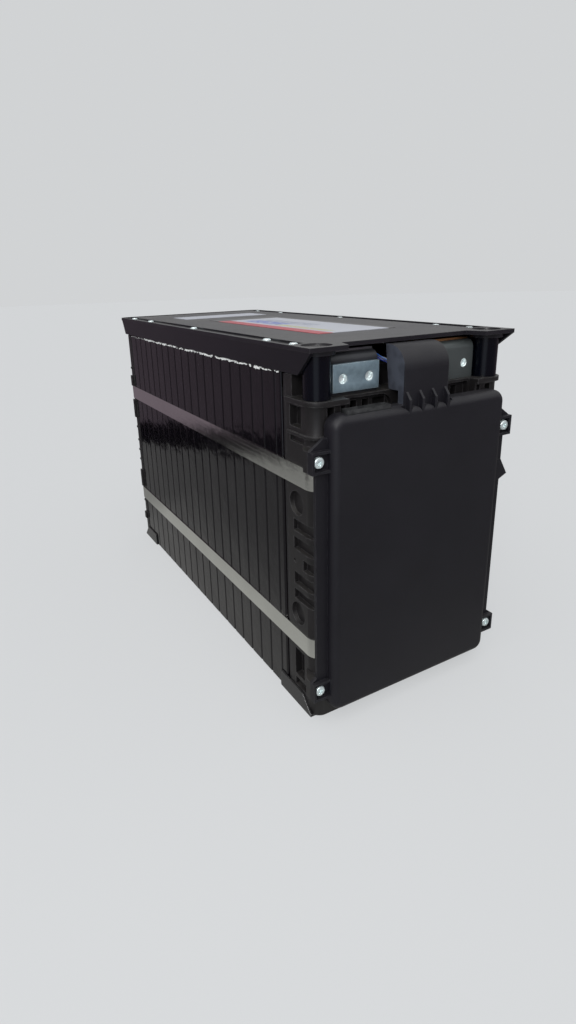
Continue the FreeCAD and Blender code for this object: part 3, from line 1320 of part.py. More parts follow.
def group_span(first_group, last_group):
    """Where a run of cell groups begins and ends along the pack."""
    size = count("{group_cells}")
    total = 2 * count("{fin_count}") + 1
    first = first_group * size
    last = min((last_group + 1) * size, total) - 1
    return cell_front(first), cell_front(last) + " + {cell_thick}"


def group_total():
    """How many groups the cells make."""
    size = count("{group_cells}")
    return (2 * count("{fin_count}") + size) // size


def build_cell_links():
    """The copper links over the tabs, each joining two groups in series."""
    body = new_body("cell_links")
    plan = new_sketch(body, "Links", "XY", "{z_link}")
    total = group_total()
    for sign, first in (("-", 0), ("", -1)):
        for group in range(first, total, 2):
            start, end = group_span(max(group, 0), min(group + 1, total - 1))
            draw_box(plan, f"{sign}{{link_outer}}", f"{sign}{{link_inner}}", start, end)
    pad(body, plan, "{link_gauge}")
    return body


def build_end_link(label, sign, group, run_back):
    """The copper link from an end group's tabs up to its terminal's top leg."""
    body = new_body(label)
    level = "{z_link} + {link_gauge}"
    top = "{z_stack} + {terminal_top_level}"
    left = f"{sign}({{terminal_offset}} + {{terminal_width}} / 2)"
    right = f"{sign}({{terminal_offset}} - {{terminal_width}} / 2)"
    plan = new_sketch(body, label + "_foot", "XY", level)
    start, end = group_span(group, group)
    if run_back:
        outer = f"{sign}{{return_bar_outer}}"
        inner = f"{sign}({{return_bar_outer}} - {{return_bar_width}})"
        draw_polygon(plan, [(outer, "{y_stack}"), (outer, end), (f"{sign}{{link_inner}}", end),
                            (f"{sign}{{link_inner}}", start), (inner, start),
                            (inner, "{y_stack} + {end_link_gauge}"), (right, "{y_stack} + {end_link_gauge}"),
                            (right, "{y_stack}")])
    else:
        draw_box(plan, left, right, "{y_stack}", end)
    pad(body, plan, "{end_link_gauge}")
    riser = new_sketch(body, label + "_riser", "XY", level)
    draw_box(riser, left, right, "{y_stack} - {end_link_gauge}", "{y_stack}")
    pad(body, riser, "{terminal_top_level} - {link_level} - {link_gauge} + {end_link_gauge}")
    shelf = new_sketch(body, label + "_shelf", "XY", top)
    draw_box(shelf, left, right, "{y_terminal} + {terminal_bend}", "{y_stack}")
    pad(body, shelf, "{end_link_gauge}")
    return body


def build_sense_board():
    """The long board between the two rows of tabs, with the header that takes the lead."""
    body = new_body("sense_board")
    plan = new_sketch(body, "SenseBoard", "XY", "{z_link} - {board_gauge}")
    half = "({sense_board_width} / 2)"
    draw_box(plan, "-" + half, half, "{y_front_pad}", "{y_rear_sheet}")
    pad(body, plan, "{board_gauge}")
    header = new_sketch(body, "SenseHeader", "XY", "{z_link}")
    behind = "{y_front} + {sense_header_setback}"
    draw_box(header, "{sense_header_offset} - {sense_header_half}",
             "{sense_header_offset} + {sense_header_half}", behind, behind + " + {header_half}")
    pad(body, header, "{sense_header_rise}")
    return body


def build_busbar_carrier():
    """The moulded frame on the webs: rails with the lid's screw bosses, cross bars and a spine."""
    body = new_body("busbar_carrier")
    outer = "({half_width} - {fin_gauge} - {rail_clearance})"
    rails = new_sketch(body, "Rails", "XY", "{z_web}")
    for sign in ("-", ""):
        draw_box(rails, f"{sign}{outer}", f"{sign}({outer} - {{rail_width}})",
                 "{y_stack}", "{y_rear_sheet}")
    pad(body, rails, "{rail_height}")
    for turn in range(1, count("{fin_count}"), count("{bar_every}")):
        bar = new_sketch(body, f"Bar{turn + 1:02d}", "XY", "{z_web}")
        front = f"{{y_fins}} + {turn} * {{fin_pitch}} + {{fin_gauge}} + {{cell_thick}}"
        draw_box(bar, f"{{rail_width}} / 2 - {outer}", f"{outer} - {{rail_width}} / 2",
                 front, front + " + {pad_gauge}")
        pad(body, bar, "{link_level} - {web_height} - {board_gauge}")
    spine = new_sketch(body, "Spine", "XY", "{z_link} - {board_gauge} - {spine_height}")
    draw_box(spine, "-{spine_half}", "{spine_half}", "{y_stack}", "{y_rear_sheet}")
    pad(body, spine, "{spine_height}")
    bosses = new_sketch(body, "LidBosses", "XY", "{z_web}")
    holes = new_sketch(body, "LidBossHoles", "XY", "{z_lid_under}")
    for across, along_pack in lid_screw_places():
        if value(along_pack) > value("{y_stack}"):
            draw_circle(bosses, across, along_pack, "{boss_radius}")
            draw_circle(holes, across, along_pack, "{lid_screw_shank}")
    pad(body, bosses, "{lid_level} - {lid_wall} - {web_height}")
    pocket(body, holes, "{lid_screw_length} + {lid_channel_depth} - {lid_wall}")
    return body


# Building, checking and writing the pieces

def build_all():
    """Every piece of the module, in the order in which it is put together."""
    pieces = build_fins() + build_cell_groups()
    pieces.append(build_compression_pads())
    pieces.append(build_pressure_sheets())
    pieces.append(build_front_end_plate())
    pieces.append(build_rear_end_plate())
    pieces.append(build_band("lower_band", "{lower_band_level}"))
    pieces.append(build_band("upper_band", "{upper_band_level}"))
    pieces.append(build_band_clips())
    pieces.append(build_feet("front_feet", "{y_front_sheet}", "-", "{front_foot_reach}",
                             "{front_foot_overlap}", "{y_front_bore}"))
    pieces.append(build_feet("rear_feet", "{y_rear_plate}", "+", "{rear_foot_reach}",
                             "{rear_foot_overlap}", "{y_rear_bore}"))
    pieces.append(build_corner_posts())
    pieces.append(build_busbar_carrier())
    pieces.append(build_cell_links())
    last = group_total() - 1
    pieces.append(build_end_link("positive_link", "-", last, True))
    pieces.append(build_end_link("negative_link", "", 0, False))
    pieces.append(build_sense_board())
    pieces.append(build_terminal("positive_terminal", "-"))
    pieces.append(build_terminal("negative_terminal", ""))
    pieces.append(build_contact_plate())
    pieces.append(build_monitor_board())
    pieces.append(build_signal_connector())
    pieces.append(build_sense_lead())
    pieces.append(build_front_cover())
    pieces.append(build_cover_screws())
    pieces.append(build_edge_seals())
    pieces.append(build_lid())
    pieces.append(build_lid_labels())
    pieces.append(build_lid_screws())
    return pieces


def check(pieces):
    """Stop unless every object is sound and every piece has a valid solid."""
    doc.recompute()
    for item in doc.Objects:
        if {"Invalid", "Error"} & set(item.State):
            raise RuntimeError(f"{item.Label} is {item.State}")
    for piece in pieces:
        shape = Part.getShape(piece)
        if shape.isNull() or not shape.isValid() or not shape.Solids:
            raise RuntimeError(f"{piece.Label} has no valid solid")


def write(pieces):
    """Write each piece to a STEP file named after it."""
    os.makedirs("parts", exist_ok=True)
    for piece in pieces:
        Part.getShape(piece).exportStep(os.path.join("parts", piece.Label + ".step"))


all_pieces = build_all()
check(all_pieces)
write(all_pieces)
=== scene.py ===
"""Studio scene of the lithium-ion battery module.

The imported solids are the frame. This script gives every solid its finish, replaces the ones whose
small forms the solids keep plain, and sets up the camera, the floor and the lights.
"""
from __future__ import annotations

import fnmatch
import json
import logging
import math
import random
from collections.abc import Iterable
from dataclasses import dataclass, field
from enum import Enum

import bmesh
import bpy
from mathutils import Matrix, Vector, noise

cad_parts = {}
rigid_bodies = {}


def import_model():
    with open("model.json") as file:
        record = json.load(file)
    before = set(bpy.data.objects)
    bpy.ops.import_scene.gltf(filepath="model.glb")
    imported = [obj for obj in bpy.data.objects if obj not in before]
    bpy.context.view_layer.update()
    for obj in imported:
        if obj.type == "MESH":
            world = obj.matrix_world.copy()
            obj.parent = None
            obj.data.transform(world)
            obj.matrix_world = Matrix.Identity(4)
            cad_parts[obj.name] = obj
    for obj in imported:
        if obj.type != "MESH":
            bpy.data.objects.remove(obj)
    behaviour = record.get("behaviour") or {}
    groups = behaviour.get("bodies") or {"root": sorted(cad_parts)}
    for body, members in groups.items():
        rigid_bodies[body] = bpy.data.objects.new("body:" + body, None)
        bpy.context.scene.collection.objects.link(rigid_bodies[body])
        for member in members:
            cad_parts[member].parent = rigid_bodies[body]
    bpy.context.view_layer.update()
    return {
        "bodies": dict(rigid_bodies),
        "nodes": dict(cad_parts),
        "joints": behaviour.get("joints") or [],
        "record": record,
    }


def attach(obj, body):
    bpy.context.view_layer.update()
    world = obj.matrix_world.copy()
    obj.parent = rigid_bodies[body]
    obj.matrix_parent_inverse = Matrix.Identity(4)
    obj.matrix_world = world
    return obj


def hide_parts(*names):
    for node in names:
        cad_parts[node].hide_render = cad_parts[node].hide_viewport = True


LOG = logging.getLogger("battery_module")
MM = 0.001
BODY = "root"

Node = bpy.types.Node
Socket = bpy.types.NodeSocket
Colour = tuple[float, float, float]
Point = tuple[float, float, float]
Span = tuple[float, float]


def millimetres(*sizes: float) -> Vector:
    """A vector in metres from sizes in millimetres."""
    return Vector(sizes) * MM


def put_in_scene(name: str, data: bpy.types.ID) -> bpy.types.Object:
    """Put a new object in the scene.

    Args:
        name: The object's name.
        data: Its mesh, curve, camera or lamp.

    Returns:
        The object, at the origin.
    """
    thing = bpy.data.objects.new(name, data)
    bpy.context.scene.collection.objects.link(thing)
    return thing


# Shader groups that several finishes share


class Graph:
    """A node tree with short calls to add and to join nodes."""

    def __init__(self, tree: bpy.types.NodeTree) -> None:
        """Keep the tree that the calls work on."""
        self.tree = tree

    @classmethod
    def start(cls, holder: bpy.types.Material | bpy.types.World) -> Graph:
        """Empty the node tree of a new material or world.

        Args:
            holder: The material or the world.

        Returns:
            The graph of its tree.
        """
        holder.use_nodes = True
        holder.node_tree.nodes.clear()
        return cls(holder.node_tree)

    def add(self, kind: str, settings: dict | None = None, **inputs: object) -> Node:
        """Add a node.

        Args:
            kind: The node's class without its ShaderNode prefix.
            settings: Properties of the node.
            **inputs: Values or sockets by input name, with _ for each space.

        Returns:
            The new node.
        """
        prefix = "" if kind.startswith("NodeGroup") else "ShaderNode"
        node = self.tree.nodes.new(prefix + kind)
        for name, setting in (settings or {}).items():
            setattr(node, name, setting)
        for name, source in inputs.items():
            self.feed(node, name.replace("_", " "), source)
        return node

    def feed(self, node: Node, name: str | int, source: object) -> None:
        """Give an input a value, or join a socket to it.

        Args:
            node: The node that has the input.
            name: The input's name or number.
            source: A socket, or the number or colour to set.
        """
        socket = node.inputs[name]
        if isinstance(source, Socket):
            self.tree.links.new(source, socket)
        elif socket.type == "RGBA":
            socket.default_value = (*source, 1.0)
        else:
            socket.default_value = source

    def fill(self, node: Node, *sources: object) -> Node:
        """Feed a node's inputs in their order.

        Args:
            node: The node that has the inputs.
            *sources: A socket or value for each, from the first on.

        Returns:
            The same node.
        """
        for place, source in enumerate(sources):
            self.feed(node, place, source)
        return node

    def maths(self, operation: str, first: object, second: object = 0.0, third: object = 0.0,
              clamp: bool = False) -> Socket:
        """Join a Math node to its sources.

        Args:
            operation: The node's operation.
            first: First socket or number.
            second: Second socket or number.
            third: Third socket or number.
            clamp: Whether the result stays between 0 and 1.

        Returns:
            The result's socket.
        """
        node = self.add("Math", {"operation": operation, "use_clamp": clamp})
        return self.fill(node, first, second, third).outputs[0]

    def product(self, first: object, *others: object) -> Socket:
        """Multiply masks and numbers.

        Args:
            first: First socket or number.
            *others: The sockets or numbers to multiply it by.

        Returns:
            The product's socket.
        """
        result = first
        for other in others:
            result = self.maths("MULTIPLY", result, other)
        return result

    def blend(self, factor: object, first: object, second: object) -> Socket:
        """Mix two colours.

        Args:
            factor: Socket or number, 0 for the first colour.
            first: First colour or socket.
            second: Second colour or socket.

        Returns:
            The mixed colour's socket.
        """
        node = self.add("Mix", {"data_type": "RGBA"})
        # A Mix node's colour sockets come after those for numbers and vectors
        for place, source in ((0, factor), (6, first), (7, second)):
            self.feed(node, place, source)
        return node.outputs[2]

    def mix_shaders(self, share: object, first: Node, second: Node) -> Socket:
        """Mix two shaders.

        Args:
            share: Socket or number, 0 for the first shader.
            first: First shader.
            second: Second shader.

        Returns:
            The mixed shader's socket.
        """
        sources = share, first.outputs[0], second.outputs[0]
        return self.fill(self.add("MixShader"), *sources).outputs[0]

    def ramp(self, factor: object, low: float, high: float) -> Socket:
        """Stretch a factor so that low becomes 0 and high becomes 1.

        Args:
            factor: The socket to stretch.
            low: What becomes 0.
            high: What becomes 1.

        Returns:
            The stretched factor's socket.
        """
        node = self.add("MapRange", {"interpolation_type": "SMOOTHSTEP"})
        return self.fill(node, factor, low, high, 0.0, 1.0).outputs[0]

    def window(self, value: object, low: float, high: float, edge: float) -> Socket:
        """A mask that is 1 where a value lies between two limits.

        Args:
            value: The socket to test.
            low: Lower limit.
            high: Upper limit.
            edge: Width over which the mask falls off inside each limit.

        Returns:
            The mask's socket.
        """
        return self.product(self.ramp(value, low, low + edge), self.ramp(value, high, high - edge))

    def seen(self) -> Socket:
        """A mask that is 1 for the rays that show the background: straight, mirrored and through.

        Returns:
            The mask's socket.
        """
        path = self.add("LightPath").outputs
        total = self.maths("ADD", path["Is Camera Ray"], path["Is Glossy Ray"], clamp=True)
        return self.maths("ADD", total, path["Is Transmission Ray"], clamp=True)

    def point(self) -> Socket:
        """The shaded point's Object coordinates, in metres."""
        return self.add("TexCoord").outputs["Object"]

    def normal(self) -> Socket:
        """The surface's normal."""
        return self.add("NewGeometry").outputs["Normal"]

    def parts(self, vector: Socket) -> bpy.types.NodeOutputs:
        """The X, Y and Z of a vector."""
        return self.add("SeparateXYZ", Vector=vector).outputs

    def noise(self, scale: object, detail: float, roughness: float = 0.5) -> Socket:
        """A noise on Object coordinates.

        Args:
            scale: Socket or number, in waves per metre.
            detail: How many finer layers it has.
            roughness: How strong the finer layers are.

        Returns:
            The noise's socket.
        """
        return self.add("TexNoise", Vector=self.point(), Scale=scale, Detail=detail,
                        Roughness=roughness).outputs[0]


class SharedGroup:
    """A shader group that is built once and placed in each material that uses it."""

    name = "Shared"
    inputs: dict[str, float] = {}
    outputs: tuple[str, ...] = ("Mask",)

    def tree(self) -> bpy.types.NodeTree:
        """Find the group's tree, or build it.

        Returns:
            The group's node tree.
        """
        found = bpy.data.node_groups.get(self.name)
        if found:
            return found
        tree = bpy.data.node_groups.new(self.name, "ShaderNodeTree")
        for name, value in self.inputs.items():
            socket = tree.interface.new_socket(name, in_out="INPUT", socket_type="NodeSocketFloat")
            socket.default_value = value
        for name in self.outputs:
            tree.interface.new_socket(name, in_out="OUTPUT", socket_type="NodeSocketFloat")
        graph = Graph(tree)
        given = graph.add("NodeGroupInput").outputs
        graph.fill(graph.add("NodeGroupOutput"), *self.build(graph, given))
        return tree

    def build(self, graph: Graph, given: bpy.types.NodeOutputs) -> Iterable[Socket]:
        """Build the nodes inside the group, which each kind of group does its own way."""
        raise NotImplementedError

    def place(self, graph: Graph, **inputs: object) -> bpy.types.NodeOutputs:
        """Place the group in a material and give it its inputs, with _ for each space."""
        return graph.add("Group", {"node_tree": self.tree()}, **inputs).outputs


class Grain(SharedGroup):
    """Fine moulding or paint grain, with a slower unevenness under it."""

    name = "Grain"
    inputs = {"Scale": 1200.0, "Slow Scale": 30.0}
    outputs = ("Fine", "Slow")

    def build(self, graph: Graph, given: bpy.types.NodeOutputs) -> Iterable[Socket]:
        """Build both noises.

        Args:
            graph: The group's graph.
            given: The group's inputs by name.

        Returns:
            The fine and the slow noise.
        """
        return (graph.noise(given["Scale"], detail=3.0, roughness=0.6),
                graph.noise(given["Slow Scale"], detail=4.0, roughness=0.55))


class Dust(SharedGroup):
    """Light dust that settles in patches on faces that look up."""

    name = "Dust"
    inputs = {"Amount": 0.3, "Scale": 18.0}
    upward_limits = (-0.2, 1.0)
    patch_limits = (0.25, 0.75)

    def build(self, graph: Graph, given: bpy.types.NodeOutputs) -> Iterable[Socket]:
        """Build the mask from the normal's height and a patchy noise.

        Args:
            graph: The group's graph.
            given: The group's inputs by name.

        Returns:
            The mask.
        """
        level = graph.ramp(graph.parts(graph.normal())["Z"], *self.upward_limits)
        patches = graph.noise(given["Scale"], detail=6.0, roughness=0.65)
        return (graph.product(level, graph.ramp(patches, *self.patch_limits), given["Amount"]),)


class Specks(SharedGroup):
    """Scattered pale specks of lint and chips."""

    name = "Specks"
    inputs = {"Scale": 70.0, "Share": 0.2, "Size": 0.12}

    def build(self, graph: Graph, given: bpy.types.NodeOutputs) -> Iterable[Socket]:
        """Build small dots at some of a Voronoi texture's cell centres.

        Args:
            graph: The group's graph.
            given: The group's inputs by name.

        Returns:
            The mask.
        """
        cells = graph.add("TexVoronoi", Vector=graph.point(), Scale=given["Scale"]).outputs
        chance = graph.add("SeparateColor", Color=cells["Color"]).outputs[0]
        radius = graph.product(chance, given["Size"])
        dot = graph.maths("LESS_THAN", cells["Distance"], radius)
        return (graph.product(dot, graph.maths("LESS_THAN", chance, given["Share"])),)


class EdgeWearAndHighlight(SharedGroup):
    """Pale edges of rubbed wear and painted highlight, where the softened normal leaves the true
    one, broken up by noise.
    """

    name = "EdgeWearAndHighlight"
    inputs = {"Radius": 0.0011, "Amount": 0.5, "Break Scale": 220.0}
    away_limits = (0.02, 0.2)
    break_limits = (0.3, 0.65)

    def build(self, graph: Graph, given: bpy.types.NodeOutputs) -> Iterable[Socket]:
        """Build the mask from a Bevel node against the face's normal.

        Args:
            graph: The group's graph.
            given: The group's inputs by name.

        Returns:
            The mask.
        """
        soft = graph.add("Bevel", {"samples": 4}, Radius=given["Radius"]).outputs[0]
        alike = graph.fill(graph.add("VectorMath", {"operation": "DOT_PRODUCT"}),
                           graph.normal(), soft)
        away = graph.maths("SUBTRACT", 1.0, alike.outputs["Value"])
        breaks = graph.noise(given["Break Scale"], detail=4.0)
        return (graph.product(graph.ramp(away, *self.away_limits),
                              graph.ramp(breaks, *self.break_limits), given["Amount"]),)


class Brushing(SharedGroup):
    """Fine parallel lines, as rolling and brushing leave on metal."""

    name = "Brushing"
    inputs = {"Along X": 4.0, "Along Y": 4.0, "Along Z": 900.0}
    outputs = ("Lines",)

    def build(self, graph: Graph, given: bpy.types.NodeOutputs) -> Iterable[Socket]:
        """Build a noise that is stretched along the metal's rolling direction.

        Args:
            graph: The group's graph.
            given: The group's inputs by name.

        Returns:
            The lines.
        """
        scale = graph.fill(graph.add("CombineXYZ"), *(given[name] for name in self.inputs))
        stretched = graph.fill(graph.add("VectorMath", {"operation": "MULTIPLY"}),
                               graph.point(), scale.outputs[0])
        return (graph.add("TexNoise", Vector=stretched.outputs[0], Scale=1.0, Detail=5.0,
                          Roughness=0.7).outputs[0],)


# Finishes


@dataclass(frozen=True)
class Finish:
    """A surface finish, which builds its material.

    Scales are in waves per metre, depths in metres, and the other numbers are shares.
    """

    name: str
    colour: Colour
    roughness: float
    metallic: float = 0.0
    coat: float = 0.0
    coat_roughness: float = 0.06
    specular: float = 0.5
    variation: float = 0.12
    roughness_swing: float = 0.08
    grain_scale: float = 1200.0
    grain_depth: float = 0.00002
    slow_scale: float = 30.0
    slow_depth: float = 0.0
    brushed_along: Point | None = None
    brushed_depth: float = 0.00001
    brushed_swing: float = 0.25
    dust: float = 0.0
    dust_colour: Colour = (0.32, 0.30, 0.27)
    dust_roughness: float = 0.35
    specks: float = 0.0
    speck_colour: Colour = (0.45, 0.45, 0.43)
    # Pale edges: partly wear, partly a painted highlight where the edges would catch the light.
    wear_and_highlight: float = 0.0
    wear_and_highlight_colour: Colour = (0.12, 0.12, 0.125)

    def material(self) -> bpy.types.Material:
        """Find this finish's material, or build it.

        Returns:
            The material.
        """
        title = f"look_{self.name}"
        found = bpy.data.materials.get(title)
        if found:
            return found
        material = bpy.data.materials.new(title)
        graph = Graph.start(material)
        shader = graph.add("BsdfPrincipled", Metallic=self.metallic, Coat_Weight=self.coat,
                           Coat_Roughness=self.coat_roughness, Specular_IOR_Level=self.specular)
        graph.add("OutputMaterial", Surface=shader.outputs[0])
        self.dress(graph, shader)
        return material

    def dress(self, graph: Graph, shader: Node) -> None:
        """Join colour, roughness and bump to the shader.

        Args:
            graph: The material's graph.
            shader: The Principled shader.
        """
        grain = Grain().place(graph, Scale=self.grain_scale, Slow_Scale=self.slow_scale)
        slow = grain["Slow"]
        dark, light = (tuple(part * level for part in self.colour)
                       for level in (1.0 - self.variation, 1.0 + self.variation))
        colour = self.pattern(graph, graph.blend(slow, dark, light))
        roughness = graph.maths("MULTIPLY_ADD", slow, self.roughness_swing,
                                self.roughness - self.roughness_swing / 2)
        height = graph.product(grain["Fine"], self.grain_depth)
        if self.slow_depth:
            height = graph.maths("MULTIPLY_ADD", slow, self.slow_depth, height)
        if self.brushed_along:
            along = dict(zip(("Along_X", "Along_Y", "Along_Z"), self.brushed_along))
            lines = Brushing().place(graph, **along)["Lines"]
            height = graph.maths("MULTIPLY_ADD", lines, self.brushed_depth, height)
            streaked = graph.maths("MULTIPLY_ADD", lines, self.brushed_swing,
                                   -self.brushed_swing / 2)
            roughness = graph.maths("ADD", roughness, streaked, clamp=True)
        # Pale the edges with wear and a painted highlight.
        if self.wear_and_highlight:
            worn_and_lit = EdgeWearAndHighlight().place(graph, Amount=self.wear_and_highlight)["Mask"]
            colour = graph.blend(worn_and_lit, colour, self.wear_and_highlight_colour)
        if self.dust:
            dusty = Dust().place(graph, Amount=self.dust)["Mask"]
            colour = graph.blend(dusty, colour, self.dust_colour)
            roughness = graph.maths("MULTIPLY_ADD", dusty, self.dust_roughness, roughness,
                                    clamp=True)
        if self.specks:
            specked = Specks().place(graph, Share=self.specks)["Mask"]
            colour = graph.blend(specked, colour, self.speck_colour)
        graph.feed(shader, "Base Color", colour)
        graph.feed(shader, "Roughness", roughness)
        bump = graph.add("Bump", Height=height, Distance=1.0, Strength=1.0)
        graph.feed(shader, "Normal", bump.outputs[0])

    def pattern(self, graph: Graph, colour: Socket) -> Socket:
        """Add what a finish has on top of its plain colour, which for most is nothing."""
        return colour


@dataclass(frozen=True)
class LabelPaper(Finish):
    """Sticker paper with a printed stripe, faint smudges and a dark margin. Places are in mm."""

    stripe: Span = (-37.2, -23.5)
    stripe_edge: float = 0.6
    stripe_colour: Colour = (0.40, 0.045, 0.06)
    print_ends: Span = (-134.0, 47.0)
    print_right: float = 30.0
    margin_back: float = 95.0
    margin_colour: Colour = (0.058, 0.056, 0.055)
    smudges: tuple[tuple[Span, Span, Colour], ...] = (
        ((-19.0, 2.0), (-42.0, 36.0), (0.035, 0.09, 0.42)),
        ((-21.0, -11.0), (-126.0, -30.0), (0.42, 0.40, 0.10)),
        ((-3.0, 14.0), (-70.0, 30.0), (0.24, 0.26, 0.33)),
    )
    smudge_edges: Span = (3.0, 12.0)
    smudge_strength: float = 0.85
    blot_scale: float = 190.0
    blot_limits: Span = (0.36, 0.55)

    def printed(self, graph: Graph, across: Span, along: Span, edges: Span) -> Socket:
        """A mask of a rectangle on the paper.

        Args:
            graph: The material's graph.
            across: Its left and right side.
            along: Its front and back.
            edges: Widths over which its sides and its ends fade.

        Returns:
            The mask's socket.
        """
        parts = graph.parts(graph.point())
        return graph.product(*(
            graph.window(parts[axis], low * MM, high * MM, edge * MM)
            for axis, (low, high), edge in zip("XY", (across, along), edges)))

    def pattern(self, graph: Graph, colour: Socket) -> Socket:
        """Lay the smudges, the stripe and the margin over the paper's colour.

        Args:
            graph: The material's graph.
            colour: The plain colour's socket.

        Returns:
            The colour's socket with the pattern.
        """
        noisy = graph.noise(self.blot_scale, detail=5.0, roughness=0.7)
        blots = graph.ramp(noisy, *self.blot_limits)
        for across, along, ink in self.smudges:
            place = self.printed(graph, across, along, self.smudge_edges)
            colour = graph.blend(graph.product(place, blots, self.smudge_strength), colour, ink)
        striped = self.printed(graph, self.stripe, self.print_ends,
                               (self.stripe_edge, self.stripe_edge))
        colour = graph.blend(striped, colour, self.stripe_colour)
        parts = graph.parts(graph.point())
        beside = graph.maths("GREATER_THAN", parts["X"], self.print_right * MM)
        behind = graph.maths("GREATER_THAN", parts["Y"], self.print_ends[1] * MM)
        ahead = graph.maths("LESS_THAN", parts["Y"], self.margin_back * MM)
        margin = graph.product(graph.maths("MAXIMUM", beside, behind), ahead)
        return graph.blend(margin, colour, self.margin_colour)


@dataclass(frozen=True)
class CoverMoulding(Finish):
    """The cover's grained plastic, with a painted paler, bluer sheen on the sides of the hood.
    Places are in mm.
    """

    hood_foot: float = 226.0
    hood_fade: float = 12.0
    hood_side: float = 24.0
    hood_face: float = -207.6
    # Colour of the painted sheen: light on the hood's sides, painted into the plastic's colour.
    hood_sheen_colour: Colour = (0.058, 0.064, 0.082)
    sideways_limits: Span = (0.6, 0.9)
    blot_scale: float = 130.0
    blot_limits: Span = (0.35, 0.6)
    blot_share: float = 0.35

    def pattern(self, graph: Graph, colour: Socket) -> Socket:
        """Paint a paler, bluer sheen onto the hood's sides over the plastic's colour, in patches.

        Args:
            graph: The material's graph.
            colour: The plain colour's socket.

        Returns:
            The colour's socket with the pattern.
        """
        parts = graph.parts(graph.point())
        near = graph.maths("LESS_THAN", graph.maths("ABSOLUTE", parts["X"]), self.hood_side * MM)
        above = graph.ramp(parts["Z"], self.hood_foot * MM, (self.hood_foot + self.hood_fade) * MM)
        sideways = graph.maths("ABSOLUTE", graph.parts(graph.normal())["X"])
        behind = graph.maths("GREATER_THAN", parts["Y"], self.hood_face * MM)
        blots = graph.ramp(graph.noise(self.blot_scale, detail=1.0), *self.blot_limits)
        patchy = graph.maths("MULTIPLY_ADD", blots, self.blot_share, 1.0 - self.blot_share)
        # Mask of the painted sheen: faces that look sideways on the hood, above its foot, in
        # patches.
        mask = graph.product(near, above, graph.ramp(sideways, *self.sideways_limits), behind,
                             patchy)
        return graph.blend(mask, colour, self.hood_sheen_colour)


# Its pale edges are partly wear and partly painted highlight; its class also paints a sheen on the
# hood's sides.
COVER_MOULDING = CoverMoulding(
    "cover_moulding", (0.0072, 0.0067, 0.0100), 0.49, specular=0.37, grain_scale=1100,
    grain_depth=0.00012, slow_depth=0.00015, variation=0.25, dust=0.05, specks=0.07, wear_and_highlight=0.6,
    wear_and_highlight_colour=(0.045, 0.045, 0.050))
# The plate's pale edge lines are partly worn moulding and partly painted highlight.
PLATE_MOULDING = Finish("plate_moulding", (0.0100, 0.0090, 0.0095), 0.42, specular=0.42,
                        grain_scale=1300, grain_depth=0.00006, variation=0.25, dust=0.10,
                        specks=0.10, wear_and_highlight=0.8, wear_and_highlight_colour=(0.085, 0.083, 0.086))
LID_MOULDING = Finish("lid_moulding", (0.0062, 0.0052, 0.0085), 0.36, specular=0.45,
                      grain_scale=1300, grain_depth=0.00005, slow_depth=0.00010, variation=0.2,
                      dust=0.38, dust_colour=(0.16, 0.155, 0.145), specks=0.06, wear_and_highlight=0.3,
                      wear_and_highlight_colour=(0.07, 0.07, 0.075))
FIN_PAINT = Finish("fin_paint", (0.0035, 0.0028, 0.0040), 0.10, slow_scale=16, slow_depth=0.0012,
                   grain_depth=0.000004, variation=0.3, dust=0.02, specks=0.06)
FOOT_PAINT = Finish("foot_paint", (0.0105, 0.0105, 0.0120), 0.35, coat=0.2, wear_and_highlight=0.5, dust=0.10)
POST_PAINT = Finish("post_paint", (0.0006, 0.0011, 0.0034), 0.25, specular=0.30,
                    grain_depth=0.000003, variation=0.2)
BAND_STEEL = Finish("band_steel", (0.84, 0.85, 0.80), 0.15, metallic=1.0, variation=0.10,
                    slow_scale=26, slow_depth=0.0003, brushed_along=(6, 6, 1400),
                    grain_depth=0.000004)
# The contact plate's pale rim is partly painted highlight, with some wear.
ZINC_PLATE = Finish("zinc_plate", (0.23, 0.31, 0.36), 0.46, metallic=0.6, variation=0.32,
                    slow_scale=260, grain_scale=700, grain_depth=0.00003, wear_and_highlight=0.8,
                    wear_and_highlight_colour=(0.62, 0.68, 0.70))
SCREW_ZINC = Finish("screw_zinc", (0.72, 0.80, 0.80), 0.26, metallic=0.55)
INSERT_ZINC = Finish("insert_zinc", (0.85, 0.92, 0.92), 0.30, metallic=0.6)
TERMINAL_GREY = Finish("terminal_grey", (0.075, 0.085, 0.085), 0.42, metallic=0.4, variation=0.15,
                       brushed_along=(30, 30, 500))
TERMINAL_DARK = Finish("terminal_dark", (0.031, 0.032, 0.036), 0.38, metallic=0.4, variation=0.2)
COPPER_BAR = Finish("copper_bar", (0.52, 0.30, 0.13), 0.34, metallic=1.0, variation=0.18,
                    brushed_along=(20, 700, 20))
TINNED_BAR = Finish("tinned_bar", (0.20, 0.20, 0.21), 0.40, metallic=0.9, variation=0.2,
                    brushed_along=(20, 700, 20))
POUCH_FOIL = Finish("pouch_foil", (0.07, 0.07, 0.075), 0.45, metallic=0.5, slow_scale=60,
                    slow_depth=0.0004)
PAD_FOAM = Finish("pad_foam", (0.02, 0.02, 0.022), 0.85, grain_scale=800, grain_depth=0.00015)
SHEET_PLASTIC = Finish("sheet_plastic", (0.012, 0.011, 0.012), 0.4, specular=0.3)
CARRIER_PLASTIC = Finish("carrier_plastic", (0.012, 0.012, 0.013), 0.5, specular=0.3)
BOARD_GREEN = Finish("board_green", (0.010, 0.035, 0.022), 0.35, coat=0.3)
